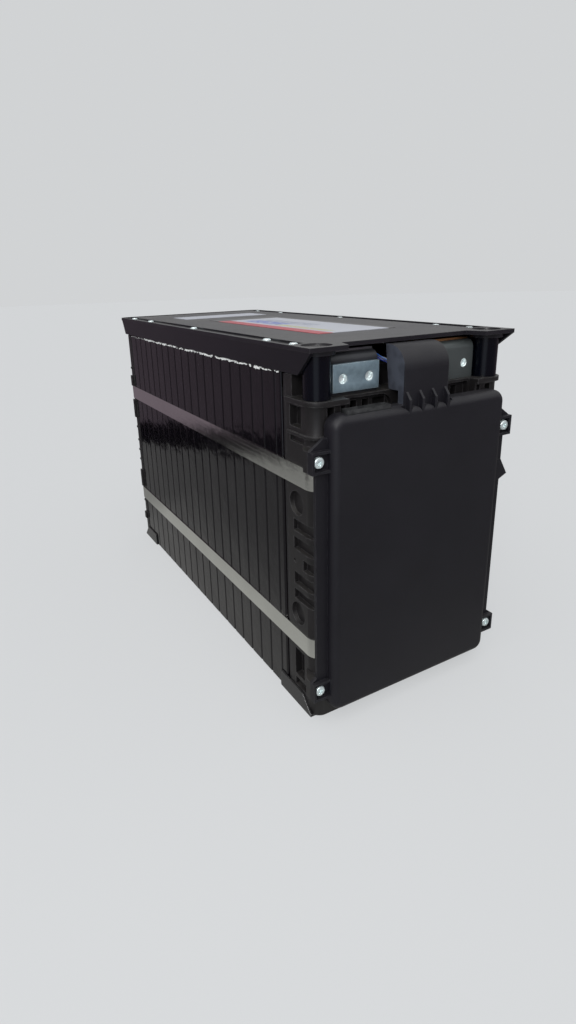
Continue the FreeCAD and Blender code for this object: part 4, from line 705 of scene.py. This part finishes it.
# The plug's pale rim is partly wear and partly painted highlight.
PLUG_SHELL = Finish("plug_shell", (0.014, 0.015, 0.016), 0.40, wear_and_highlight=0.25,
                    wear_and_highlight_colour=(0.12, 0.12, 0.12))
PLUG_CONTACT = Finish("plug_contact", (0.02, 0.035, 0.09), 0.3)
SEALANT = Finish("sealant", (0.80, 0.80, 0.78), 0.55, slow_scale=300, grain_depth=0.00005)
LABEL_PAPER = LabelPaper("label_paper", (0.44, 0.455, 0.50), 0.35, variation=0.06, slow_scale=60)


class WireColour(Enum):
    """Insulation colours of the thin wires."""

    BLUE = (0.006, 0.018, 0.16)
    LIGHT_BLUE = (0.02, 0.09, 0.34)
    WHITE = (0.50, 0.52, 0.52)
    GREEN = (0.03, 0.20, 0.10)
    BLACK = (0.01, 0.01, 0.012)

    def finish(self) -> Finish:
        """The insulation's finish in this colour."""
        return Finish(f"wire_{self.name.lower()}", self.value, roughness=0.35)


# The shapes and the stage


class Shape:
    """A mesh under construction, which becomes a piece of the object."""

    def __init__(self, name: str) -> None:
        """Start an empty mesh for the piece of this name."""
        self.name = name
        self.mesh = bmesh.new()

    def block(self, low: Iterable[float], high: Iterable[float]) -> None:
        """Add a box between two corners.

        Args:
            low: Lowest corner in millimetres.
            high: Highest corner in millimetres.
        """
        lowest, highest = millimetres(*low), millimetres(*high)
        middle = Matrix.Translation((lowest + highest) / 2)
        size = Matrix.Diagonal((*(highest - lowest), 1.0))
        bmesh.ops.create_cube(self.mesh, size=1.0, matrix=middle @ size)

    def soften(self, width: float, segments: int = 2, angle: float = 50.0) -> None:
        """Round all edges that are sharper than an angle.

        Args:
            width: The rounding's width in millimetres.
            segments: Steps across the rounding.
            angle: The least angle between the faces, in degrees.
        """
        sharp = [edge for edge in self.mesh.edges
                 if len(edge.link_faces) == 2 and edge.calc_face_angle() > math.radians(angle)]
        bmesh.ops.bevel(self.mesh, geom=sharp, offset=width * MM, segments=segments, profile=0.5,
                        affect="EDGES", material=-1)

    def finish(self, material: bpy.types.Material, angle: float = 35.0) -> bpy.types.Object:
        """Turn the mesh into an object at the origin.

        Args:
            material: The piece's material.
            angle: Edges flatter than this are shaded smooth, in degrees.

        Returns:
            The new object.
        """
        bmesh.ops.recalc_face_normals(self.mesh, faces=self.mesh.faces)
        data = bpy.data.meshes.new(self.name)
        for face in self.mesh.faces:
            face.smooth = True
        self.mesh.to_mesh(data)
        self.mesh.free()
        data.set_sharp_from_angle(angle=math.radians(angle))
        data.materials.append(material)
        return put_in_scene(self.name, data)


@dataclass
class Studio:
    """The camera at the photograph's view, the pale floor and backdrop, and the lights.

    The camera's place and sensor are in millimetres and its angles in degrees. The floor, the
    cards and the lamps are in metres.
    """

    camera_place: Point = (-282.87, -505.90, 320.55)
    yaw: float = -28.95
    pitch: float = 18.09
    roll: float = 1.71
    focal_pixels: float = 589.0
    centre_pixels: Span = (275.14, 467.92)
    image: tuple[int, int] = (576, 1024)
    sensor: float = 36.0
    backdrop: Colour = (0.638, 0.651, 0.661)
    floor_radius: float = 9.0
    floor_albedo: Colour = (0.73, 0.735, 0.74)
    floor_plain_share: float = 0.78
    tent_corners: tuple[Span, ...] = (
        (0.06, 1.10), (-0.80, -0.258), (-0.80, -0.80), (0.95, -1.10), (0.95, 1.10))
    tent_height: float = 0.46
    tent_foot: float = 0.048
    foot_inset: float = 0.985
    tent_colour: Colour = (0.150, 0.120, 0.145)
    foot_colour: Colour = (0.002, 0.002, 0.003)
    cloth_level: float = 0.0004
    cloth_far: Colour = (0.205, 0.205, 0.203)
    cloth_near: Colour = (0.36, 0.36, 0.35)
    footprint: Span = (0.085, 0.210)
    near_reach: float = 0.14
    glow_ends: tuple[Span, Span] = ((-0.66, -0.56), (-0.27, -0.79))
    glow_height: float = 0.26
    glow_colour: Colour = (0.55, 0.60, 0.70)
    sky_colour: Colour = (0.90, 0.95, 1.0)
    sky_strength: float = 0.50
    suns: tuple[tuple[str, Point, float, float], ...] = (
        ("KeySun", (0.42, 0.30, -1.0), 1.5, 70.0), ("FillSun", (-0.5, 0.8, -0.9), 0.35, 90.0))
    sun_place: Point = (0.0, 0.0, 2.0)
    strip_place: Point = (-0.62, -0.78, 0.62)
    strip_target: Point = (0.0, -0.1, 0.2)
    strip_size: Span = (0.16, 0.34)
    strip_power: float = 3.0

    def build(self) -> None:
        """Make the camera, the floor, the tent, the sky and the lights."""
        self.build_camera()
        self.build_floor()
        self.build_tent()
        self.build_sky()
        self.build_lights()

    def build_camera(self) -> None:
        """Place the camera so that its frame is the photograph's."""
        yaw, pitch, roll = (math.radians(angle) for angle in (self.yaw, self.pitch, self.roll))
        forward = Vector((-math.sin(yaw) * math.cos(pitch), math.cos(yaw) * math.cos(pitch),
                          -math.sin(pitch)))
        level = forward.cross(Vector((0, 0, 1))).normalized()
        under = forward.cross(level)
        right = math.cos(roll) * level + math.sin(roll) * under
        down = -math.sin(roll) * level + math.cos(roll) * under
        data = bpy.data.cameras.new("PhotoCamera")
        data.sensor_fit = "AUTO"
        data.sensor_width = self.sensor
        longest = max(self.image)
        data.lens = self.focal_pixels * self.sensor / longest
        data.shift_x = (self.image[0] / 2 - self.centre_pixels[0]) / longest
        data.shift_y = (self.centre_pixels[1] - self.image[1] / 2) / longest
        data.clip_start = 0.01
        camera = put_in_scene("PhotoCamera", data)
        turn = Matrix((right, -down, -forward)).transposed().to_4x4()
        camera.matrix_world = Matrix.Translation(millimetres(*self.camera_place)) @ turn
        bpy.context.scene.camera = camera

    def build_floor(self) -> None:
        """Make the floor: seen mostly as the backdrop's plain colour, it keeps the shadow."""
        material = bpy.data.materials.new("floor_paper")
        graph = Graph.start(material)
        matte = graph.add("BsdfDiffuse", Color=self.floor_albedo)
        plain = graph.add("Emission", Color=self.backdrop, Strength=1.0)
        share = graph.product(graph.seen(), self.floor_plain_share)
        graph.add("OutputMaterial", Surface=graph.mix_shaders(share, matte, plain))
        floor = Shape("floor")
        self.add_disc(floor, 0.0)
        floor.finish(material)

    def build_tent(self) -> None:
        """Make the dark cloth and the low walls that only the gloss of the object shows."""
        cloth = Shape("dark_cloth")
        self.add_disc(cloth, self.cloth_level)
        self.show_in_gloss(cloth, self.cloth_far, self.cloth_near)
        corners = self.tent_corners
        for number, ends in enumerate(zip(corners, corners[1:] + corners[:1]), 1):
            for part, height, inset, colour in (
                    ("wall", self.tent_height, 1.0, self.tent_colour),
                    ("foot", self.tent_foot, self.foot_inset, self.foot_colour)):
                card = Shape(f"tent_{part}_{number}")
                self.add_card(card, ends, height, inset)
                self.show_in_gloss(card, colour)
        glow = Shape("front_glow")
        self.add_card(glow, self.glow_ends, self.glow_height)
        self.show_in_gloss(glow, self.glow_colour)

    def add_disc(self, sheet: Shape, level: float) -> None:
        """Add a round sheet as wide as the floor.

        Args:
            sheet: The shape that gets it.
            level: The sheet's height.
        """
        bmesh.ops.create_circle(sheet.mesh, cap_ends=True, segments=96, radius=self.floor_radius,
                                matrix=Matrix.Translation((0.0, 0.0, level)))

    def add_card(self, card: Shape, ends: tuple[Span, Span], height: float,
                 inset: float = 1.0) -> None:
        """Add an upright card that stands on the floor.

        Args:
            card: The shape that gets it.
            ends: Plan places of its two ends.
            height: The card's height.
            inset: The share of the way from the middle at which it stands.
        """
        first, last = (Vector((*place, 0.0)) * inset for place in ends)
        along, upright = last - first, Vector((0.0, 0.0, height))
        middle = (first + last + upright) / 2
        place = Matrix((along, upright, along.cross(upright).normalized())).transposed().to_4x4()
        bmesh.ops.create_grid(card.mesh, x_segments=1, y_segments=1, size=0.5,
                              matrix=Matrix.Translation(middle) @ place)

    def show_in_gloss(self, card: Shape, colour: Colour, near: Colour | None = None) -> None:
        """Finish a card that gives off a plain colour and that only mirrored rays see.

        Args:
            card: The card's shape.
            colour: Its colour.
            near: Its colour next to the object, if that is another one.
        """
        material = bpy.data.materials.new(card.name)
        graph = Graph.start(material)
        glow = graph.add("Emission", Color=colour, Strength=1.0)
        if near:
            place = graph.parts(graph.point())
            gaps = [graph.maths("SUBTRACT", graph.maths("ABSOLUTE", place[axis]), half)
                    for axis, half in enumerate(self.footprint)]
            away = graph.ramp(graph.maths("MAXIMUM", *gaps), 0.0, self.near_reach)
            graph.feed(glow, "Color", graph.blend(away, near, colour))
        graph.add("OutputMaterial", Surface=glow.outputs[0])
        piece = card.finish(material)
        for kind in ("camera", "diffuse", "transmission", "volume_scatter", "shadow"):
            setattr(piece, f"visible_{kind}", False)

    def build_sky(self) -> None:
        """Make the world: soft light from all round, seen as the plain backdrop."""
        world = bpy.data.worlds.new("StudioWorld")
        bpy.context.scene.world = world
        graph = Graph.start(world)
        light = graph.add("Background", Color=self.sky_colour, Strength=self.sky_strength)
        plain = graph.add("Background", Color=self.backdrop, Strength=1.0)
        graph.add("OutputWorld", Surface=graph.mix_shaders(graph.seen(), light, plain))

    def build_lights(self) -> None:
        """Make the two wide suns above the object and the upright strip before it."""
        for name, aim, strength, spread in self.suns:
            data = bpy.data.lights.new(name, "SUN")
            data.energy = strength
            data.angle = math.radians(spread)
            self.hang(data, self.sun_place, Vector(aim))
        data = bpy.data.lights.new("FrontStrip", "AREA")
        data.shape = "RECTANGLE"
        data.size, data.size_y = self.strip_size
        data.energy = self.strip_power
        self.hang(data, self.strip_place, Vector(self.strip_target) - Vector(self.strip_place))

    def hang(self, data: bpy.types.Light, place: Point, aim: Vector) -> None:
        """Hang a lamp.

        Args:
            data: The lamp's light.
            place: Where it hangs.
            aim: The direction it shines in.
        """
        lamp = put_in_scene(data.name, data)
        lamp.location = place
        lamp.rotation_euler = aim.to_track_quat("-Z", "Y").to_euler()


# The module's sub-assemblies


@dataclass
class Assembly:
    """Some of the module's solids with their finishes, and the pieces that stand for others.

    A key of the finishes names one solid, or several where it ends in an asterisk. The edges of
    the softened solids are rounded by a width in millimetres.
    """

    frame: dict
    finishes: dict[str, Finish] = field(default_factory=dict)
    softened: dict[str, float] = field(default_factory=dict)
    weld_distance: float = 0.01
    soft_angle: float = 40.0

    def build(self) -> None:
        """Dress the solids and make the pieces."""
        self.dress_solids()
        self.build_pieces()

    def build_pieces(self) -> None:
        """Make the pieces that stand for solids. A plain sub-assembly has none."""

    def dress_solids(self) -> None:
        """Give each solid its finish, and round the edges of the moulded and bent ones."""
        nodes = self.frame["nodes"]
        for key, finish in self.finishes.items():
            for name in fnmatch.filter(nodes, key):
                node = nodes[name]
                node.data.materials.clear()
                node.data.materials.append(finish.material())
                if name in self.softened:
                    self.soften(node, self.softened[name])
                LOG.info("%s wears %s", name, finish.name)

    def soften(self, node: bpy.types.Object, width: float) -> None:
        """Round a solid's sharp edges with modifiers.

        Args:
            node: The solid's object.
            width: The rounding's width in millimetres.
        """
        weld = node.modifiers.new("Weld", "WELD")
        weld.merge_threshold = self.weld_distance * MM
        bevel = node.modifiers.new("SoftEdges", "BEVEL")
        bevel.width = width * MM
        bevel.segments = 2
        bevel.limit_method = "ANGLE"
        bevel.angle_limit = math.radians(self.soft_angle)

    def seat(self, piece: bpy.types.Object, slot: str, *nodes: str) -> None:
        """Make a new piece part of the module.

        Args:
            piece: The new piece.
            slot: The record's material slot. It is not used.
            *nodes: The solids that it stands for.
        """
        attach(piece, BODY)
        if nodes:
            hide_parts(*nodes)
        LOG.info("%s has %d faces", piece.name, len(piece.data.polygons))


@dataclass
class CellStack(Assembly):
    """Fins, pouch cells, pads and the boards and links on top of the cells."""

    finishes: dict[str, Finish] = field(default_factory=lambda: {
        "fin_*": FIN_PAINT, "cell_group_*": POUCH_FOIL, "compression_pads": PAD_FOAM,
        "pressure_sheets": SHEET_PLASTIC, "busbar_carrier": CARRIER_PLASTIC,
        "cell_links": COPPER_BAR, "positive_link": TINNED_BAR, "negative_link": COPPER_BAR,
        "sense_board": BOARD_GREEN,
    })


@dataclass
class Clamping(Assembly):
    """End plates, bands, feet and the posts under the lid's ears."""

    finishes: dict[str, Finish] = field(default_factory=lambda: {
        "front_end_plate": PLATE_MOULDING, "rear_end_plate": PLATE_MOULDING,
        "lower_band": BAND_STEEL, "upper_band": BAND_STEEL, "band_clips": BAND_STEEL,
        "front_feet": FOOT_PAINT, "rear_feet": FOOT_PAINT, "corner_posts": POST_PAINT,
    })
    softened: dict[str, float] = field(default_factory=lambda: {
        "front_end_plate": 0.5, "rear_end_plate": 0.5, "front_feet": 0.3, "rear_feet": 0.3,
    })


@dataclass
class Lid(Assembly):
    """The skirted lid with its labels and screws, and the sealant under its skirts.

    The sealant is a dark core with a bead of white lumps along it, which starts further back
    under the right skirt. Sizes are in millimetres, and waves count per millimetre.
    """

    finishes: dict[str, Finish] = field(default_factory=lambda: {
        "lid_labels": LABEL_PAPER, "lid_screws": SCREW_ZINC, "lid": LID_MOULDING,
    })
    softened: dict[str, float] = field(default_factory=lambda: {"lid": 0.5})
    core_sides: Span = (84.0, 84.9)
    core_levels: Span = (258.5, 259.5)
    bead_side: float = 85.6
    bead_level: float = 258.4
    bead_fronts: Span = (-157.0, -55.0)
    bead_back: float = 188.0
    bead_step: float = 1.25
    bead_seed: int = 11
    step_range: Span = (0.6, 1.5)
    thin_from: float = 138.0
    thin_share: float = 0.4
    swell_wave: float = 0.045
    swell_shift: float = 7.0
    swell_share: float = 0.7
    gap_wave: float = 0.13
    gap_shifts: Span = (3.0, 5.0)
    gap_limit: float = -0.22
    drop_chance: float = 0.16
    lump_radius: float = 0.80
    lump_width: float = 0.75
    sunk_share: float = 0.25
    radius_range: Span = (0.75, 1.15)
    level_range: Span = (-1.1, 0.3)
    length_range: Span = (1.0, 1.7)
    height_range: Span = (0.8, 1.15)

    def build_pieces(self) -> None:
        """Make the sealant's core and bead."""
        self.build_core()
        self.build_bead()

    def build_core(self) -> None:
        """Make the dark strips behind the bead, which close the gap under both skirts."""
        core = Shape("sealant_core")
        for side in (-1.0, 1.0):
            inner, outer = sorted(side * place for place in self.core_sides)
            core.block((inner, self.bead_fronts[0], self.core_levels[0]),
                       (outer, self.bead_back, self.core_levels[1]))
        self.seat(core.finish(PAD_FOAM.material()), "seal_white", "edge_seals")

    def build_bead(self) -> None:
        """Make the bead: lumps of uneven size along both skirts, with gaps between some."""
        bead = Shape("sealant_bead")
        draw = random.Random(self.bead_seed)
        across, above = self.gap_shifts
        for side, place in zip((-1.0, 1.0), self.bead_fronts):
            while place < self.bead_back:
                swell = noise.noise(Vector((side * self.swell_shift, place * self.swell_wave, 0.0)))
                gap = noise.noise(Vector((place * self.gap_wave, side * across, above)))
                share = self.thin_share if place > self.thin_from else 1.0
                if gap > self.gap_limit and draw.random() > self.drop_chance:
                    fullness = share * (1.0 + self.swell_share * swell)
                    self.add_lump(bead, draw, side, place, fullness)
                place += self.bead_step * draw.uniform(*self.step_range)
        self.seat(bead.finish(SEALANT.material(), angle=80.0), "seal_white", "edge_seals")

    def add_lump(self, bead: Shape, draw: random.Random, side: float, place: float,
                 fullness: float) -> None:
        """Add one lump of sealant.

        Args:
            bead: The bead's shape.
            draw: The source of chance.
            side: Minus one for the left skirt, one for the right.
            place: The lump's distance along the module, in millimetres.
            fullness: How large lumps are in this stretch.
        """
        radius = self.lump_radius * fullness * draw.uniform(*self.radius_range)
        middle = millimetres(side * (self.bead_side - self.sunk_share * radius), place,
                             self.bead_level + draw.uniform(*self.level_range))
        size = Matrix.Diagonal((self.lump_width, draw.uniform(*self.length_range),
                                draw.uniform(*self.height_range), 1.0))
        bmesh.ops.create_icosphere(bead.mesh, subdivisions=2, radius=radius * MM,
                                   matrix=Matrix.Translation(middle) @ size)


@dataclass
class ScrewHead:
    """A low round screw head with a six-lobed socket, on its shank.

    Each step of the crown is a share of the head's height and the scale of its rim.
    """

    radius: float
    height: float
    shank_radius: float
    shank_length: float
    crown: tuple[Span, ...] = ((0.55, 1.0), (0.30, 0.90), (0.15, 0.84))
    socket_share: float = 0.46
    socket_depth: float = 0.6
    socket_taper: float = 0.94
    lobes: int = 6
    lobe_share: float = 0.14

    def add(self, shape: Shape, place: Matrix) -> None:
        """Add the screw to a shape.

        Args:
            shape: The shape that holds the screws.
            place: Where the seat of the head is, with the head on its +Z side.
        """
        mesh = shape.mesh
        before = set(mesh.verts)
        bmesh.ops.create_circle(mesh, cap_ends=True, segments=36, radius=self.radius * MM)
        face = next(f for f in mesh.faces if not set(f.verts) & before)
        rim = self.radius
        for share, scale in self.crown:
            face = self.raise_face(mesh, face, share * self.height, scale)
            rim *= scale
        socket = self.raise_face(mesh, face, 0.0, self.socket_share * self.radius / rim)
        for vert in socket.verts:
            turn = math.atan2(vert.co.y, vert.co.x)
            vert.co.xy *= 1.0 + self.lobe_share * math.cos(self.lobes * turn)
        self.raise_face(mesh, socket, -self.socket_depth * self.height, self.socket_taper)
        bmesh.ops.create_cone(
            mesh, cap_ends=True, segments=20, radius1=self.shank_radius * MM,
            radius2=self.shank_radius * MM, depth=self.shank_length * MM,
            matrix=Matrix.Translation((0, 0, -self.shank_length * MM / 2)))
        fresh = [vert for vert in mesh.verts if vert not in before]
        bmesh.ops.transform(mesh, matrix=place, verts=fresh)

    def raise_face(self, mesh: bmesh.types.BMesh, face: bmesh.types.BMFace, rise: float,
                   scale: float) -> bmesh.types.BMFace:
        """Extrude a level face.

        Args:
            mesh: The mesh that holds it.
            face: The face.
            rise: How far it rises, in millimetres.
            scale: How its new rim is scaled about the axis.

        Returns:
            The face at its new level.
        """
        fresh = bmesh.ops.extrude_discrete_faces(mesh, faces=[face])["faces"][0]
        for vert in fresh.verts:
            vert.co.z += rise * MM
            vert.co.xy *= scale
        return fresh


@dataclass
class FrontCover(Assembly):
    """The moulded front cover and its four screws, each turned by its own angle in degrees."""

    finishes: dict[str, Finish] = field(default_factory=lambda: {"front_cover": COVER_MOULDING})
    softened: dict[str, float] = field(default_factory=lambda: {"front_cover": 0.4})
    screw_side: float = 85.2
    screw_levels: Span = (31.5, 206.0)
    screw_seat: float = -204.85
    screw_turns: tuple[float, ...] = (48.5, 223.0, 71.5, 246.0)
    screw: ScrewHead = field(default_factory=lambda: ScrewHead(
        radius=4.0, height=2.6, shank_radius=2.0, shank_length=12.0))

    def build_pieces(self) -> None:
        """Make the cover's screws."""
        screws = Shape("cover_screw_set")
        forward = Matrix.Rotation(math.radians(90.0), 4, "X")
        places = [(side, level) for side in (-1.0, 1.0) for level in self.screw_levels]
        for (side, level), angle in zip(places, self.screw_turns):
            seat = Matrix.Translation(millimetres(side * self.screw_side, self.screw_seat, level))
            turn = Matrix.Rotation(math.radians(angle), 4, "Z")
            self.screw.add(screws, seat @ forward @ turn)
        self.seat(screws.finish(SCREW_ZINC.material()), "zinc", "cover_screws")


@dataclass
class Terminals(Assembly):
    """Both terminals, the plated contact plate and the threaded inserts in their holes.

    The inserts' profile gives the radius and the depth behind the face, from rim to axis.
    """

    finishes: dict[str, Finish] = field(default_factory=lambda: {
        "positive_terminal": TERMINAL_DARK, "negative_terminal": TERMINAL_GREY,
    })
    plate_low: Point = (-64.4, -191.85, 245.9)
    plate_high: Point = (-26.4, -188.85, 264.7)
    plate_rounding: float = 0.35
    hole_radius: float = 3.4
    hole_level: float = 254.7
    hole_offsets: Span = (-10.8, 10.8)
    terminal_offset: float = 45.4
    negative_face: float = -188.85
    insert_profile: tuple[Span, ...] = (
        (3.38, 0.5), (3.05, 0.5), (2.25, 1.7), (2.25, 2.6), (0.0, 2.6))

    def build_pieces(self) -> None:
        """Make the contact plate and the inserts."""
        self.build_contact_plate()
        self.build_inserts()

    def build_contact_plate(self) -> None:
        """Make the plate: a rectangle with two holes, drawn flat, thickened and softened."""
        plate = Shape("contact_plate")
        mesh = plate.mesh
        low, high = millimetres(*self.plate_low), millimetres(*self.plate_high)
        corners = [mesh.verts.new((x, low.y, z)) for x, z in
                   ((low.x, low.z), (high.x, low.z), (high.x, high.z), (low.x, high.z))]
        for pair in zip(corners, corners[1:] + corners[:1]):
            mesh.edges.new(pair)
        for offset in self.hole_offsets:
            centre = millimetres(offset - self.terminal_offset, self.plate_low[1], self.hole_level)
            upright = Matrix.Translation(centre) @ Matrix.Rotation(math.radians(90.0), 4, "X")
            bmesh.ops.create_circle(mesh, cap_ends=False, segments=40,
                                    radius=self.hole_radius * MM, matrix=upright)
        bmesh.ops.triangle_fill(mesh, use_beauty=True, use_dissolve=False, edges=mesh.edges[:])
        raised = bmesh.ops.extrude_face_region(mesh, geom=mesh.faces[:])["geom"]
        verts = [part for part in raised if isinstance(part, bmesh.types.BMVert)]
        bmesh.ops.translate(mesh, verts=verts, vec=(0.0, high.y - low.y, 0.0))
        plate.soften(self.plate_rounding)
        self.seat(plate.finish(ZINC_PLATE.material()), "zinc", "positive_contact_plate")

    def build_inserts(self) -> None:
        """Make the bright countersunk inserts: a profile spun round each hole's axis."""
        inserts = Shape("terminal_inserts")
        mesh = inserts.mesh
        for side, face in ((-1.0, self.plate_low[1]), (1.0, self.negative_face)):
            for offset in self.hole_offsets:
                centre = millimetres(side * self.terminal_offset + offset, face, self.hole_level)
                verts = [mesh.verts.new(centre + millimetres(radius, depth, 0.0))
                         for radius, depth in self.insert_profile]
                edges = [mesh.edges.new(pair) for pair in zip(verts, verts[1:])]
                bmesh.ops.spin(mesh, geom=verts + edges, cent=centre, axis=(0, 1, 0),
                               angle=math.tau, steps=32, use_merge=True)
        bmesh.ops.remove_doubles(mesh, verts=mesh.verts, dist=self.weld_distance * MM)
        self.seat(inserts.finish(INSERT_ZINC.material()), "zinc")


@dataclass
class Electronics(Assembly):
    """The monitoring board, its open plug and the thin wires to the sense board.

    Each wire has its colour, its place round the route's axis at the start in radians, and its
    distance from the axis in millimetres. It winds round the axis by the twist from point to
    point, and its rise follows with a lag.
    """

    finishes: dict[str, Finish] = field(default_factory=lambda: {"monitor_board": BOARD_GREEN})
    plug_low: Point = (-65.0, -209.25, 215.5)
    plug_high: Point = (-30.0, -202.25, 238.1)
    plug_wall: float = 0.9
    plug_cavity: float = 9.0
    plug_rounding: float = 0.2
    contact_count: int = 12
    contact_rows: Span = (-1.2, 1.2)
    contact_size: float = 1.1
    contact_height: float = 6.2
    contact_sink: float = 0.05
    contact_rounding: float = 0.12
    wire_radius: float = 0.5
    wire_twist: float = 0.9
    wire_lag: float = 1.0
    wire_route: tuple[Point, ...] = (
        (-8.0, -206.55, 211.0), (-8.0, -206.55, 214.5), (-8.0, -203.75, 225.5),
        (-8.0, -202.55, 247.5), (-10.0, -190.35, 259.5), (-20.5, -181.35, 265.5),
        (-21.5, -174.35, 269.5), (-9.5, -165.85, 266.5), (-9.5, -159.15, 266.5))
    wires: tuple[tuple[WireColour, float, float], ...] = (
        (WireColour.BLUE, 0.0, 1.0), (WireColour.LIGHT_BLUE, 1.3, 1.1),
        (WireColour.WHITE, 2.6, 0.9), (WireColour.GREEN, 3.8, 1.0),
        (WireColour.BLUE, 5.0, 1.1), (WireColour.BLACK, 0.6, 0.3))

    def build_pieces(self) -> None:
        """Make the plug, its contacts and the wires."""
        self.build_plug()
        self.build_contacts()
        for number, (colour, turn, spread) in enumerate(self.wires, 1):
            self.build_wire(f"sense_wire_{number}", colour, turn, spread)

    def build_plug(self) -> None:
        """Make the plug's shell: a block whose top is inset and pushed down."""
        shell = Shape("plug_shell")
        shell.block(self.plug_low, self.plug_high)
        top = max(shell.mesh.faces, key=lambda face: face.calc_center_median().z)
        bmesh.ops.inset_individual(shell.mesh, faces=[top], thickness=self.plug_wall * MM)
        bmesh.ops.translate(shell.mesh, verts=top.verts[:], vec=(0, 0, -self.plug_cavity * MM))
        shell.soften(self.plug_rounding)
        self.seat(shell.finish(PLUG_SHELL.material()), "connector_plastic", "signal_connector")

    def build_contacts(self) -> None:
        """Make two rows of small contact blocks on the plug's floor."""
        contacts = Shape("plug_contacts")
        left, right = self.plug_low[0], self.plug_high[0]
        middle = (self.plug_low[1] + self.plug_high[1]) / 2
        foot = self.plug_high[2] - self.plug_cavity - self.contact_sink
        half = self.contact_size / 2
        for number in range(1, self.contact_count + 1):
            along = left + (right - left) * number / (self.contact_count + 1)
            for across in (middle + row for row in self.contact_rows):
                contacts.block((along - half, across - half, foot),
                               (along + half, across + half, foot + self.contact_height))
        contacts.soften(self.contact_rounding, segments=1)
        self.seat(contacts.finish(PLUG_CONTACT.material()), "connector_plastic",
                  "signal_connector")

    def build_wire(self, name: str, colour: WireColour, turn: float, spread: float) -> None:
        """Make one thin wire that runs loosely along the lead's route.

        Args:
            name: The wire's name.
            colour: Its insulation.
            turn: Its place round the route's axis at the start, in radians.
            spread: Its distance from the axis, in millimetres.
        """
        data = bpy.data.curves.new(name, "CURVE")
        data.dimensions = "3D"
        data.bevel_depth = self.wire_radius * MM
        data.bevel_resolution = 3
        spline = data.splines.new("NURBS")
        spline.points.add(len(self.wire_route) - 1)
        for number, (point, place) in enumerate(zip(spline.points, self.wire_route)):
            angle = turn + self.wire_twist * number
            offset = Vector((math.cos(angle), math.sin(angle), math.sin(angle + self.wire_lag)))
            point.co = (*((Vector(place) + offset * spread) * MM), 1.0)
        spline.order_u = 3
        spline.use_endpoint_u = True
        spline.resolution_u = 10
        curve = put_in_scene(name + "_line", data)
        graph = bpy.context.evaluated_depsgraph_get()
        mesh = bpy.data.meshes.new_from_object(curve.evaluated_get(graph))
        bpy.data.objects.remove(curve)
        mesh.name = name
        mesh.materials.clear()
        mesh.materials.append(colour.finish().material())
        self.seat(put_in_scene(name, mesh), "lead_blue", "sense_lead")


def main() -> None:
    """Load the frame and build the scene."""
    logging.basicConfig(level=logging.INFO, format="%(name)s: %(message)s")
    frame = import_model()
    bpy.context.scene.view_settings.view_transform = "Standard"
    Studio().build()
    for kind in (CellStack, Clamping, Lid, FrontCover, Terminals, Electronics):
        kind(frame).build()
        LOG.info("%s is built", kind.__name__)


if __name__ == "__main__":
    main()
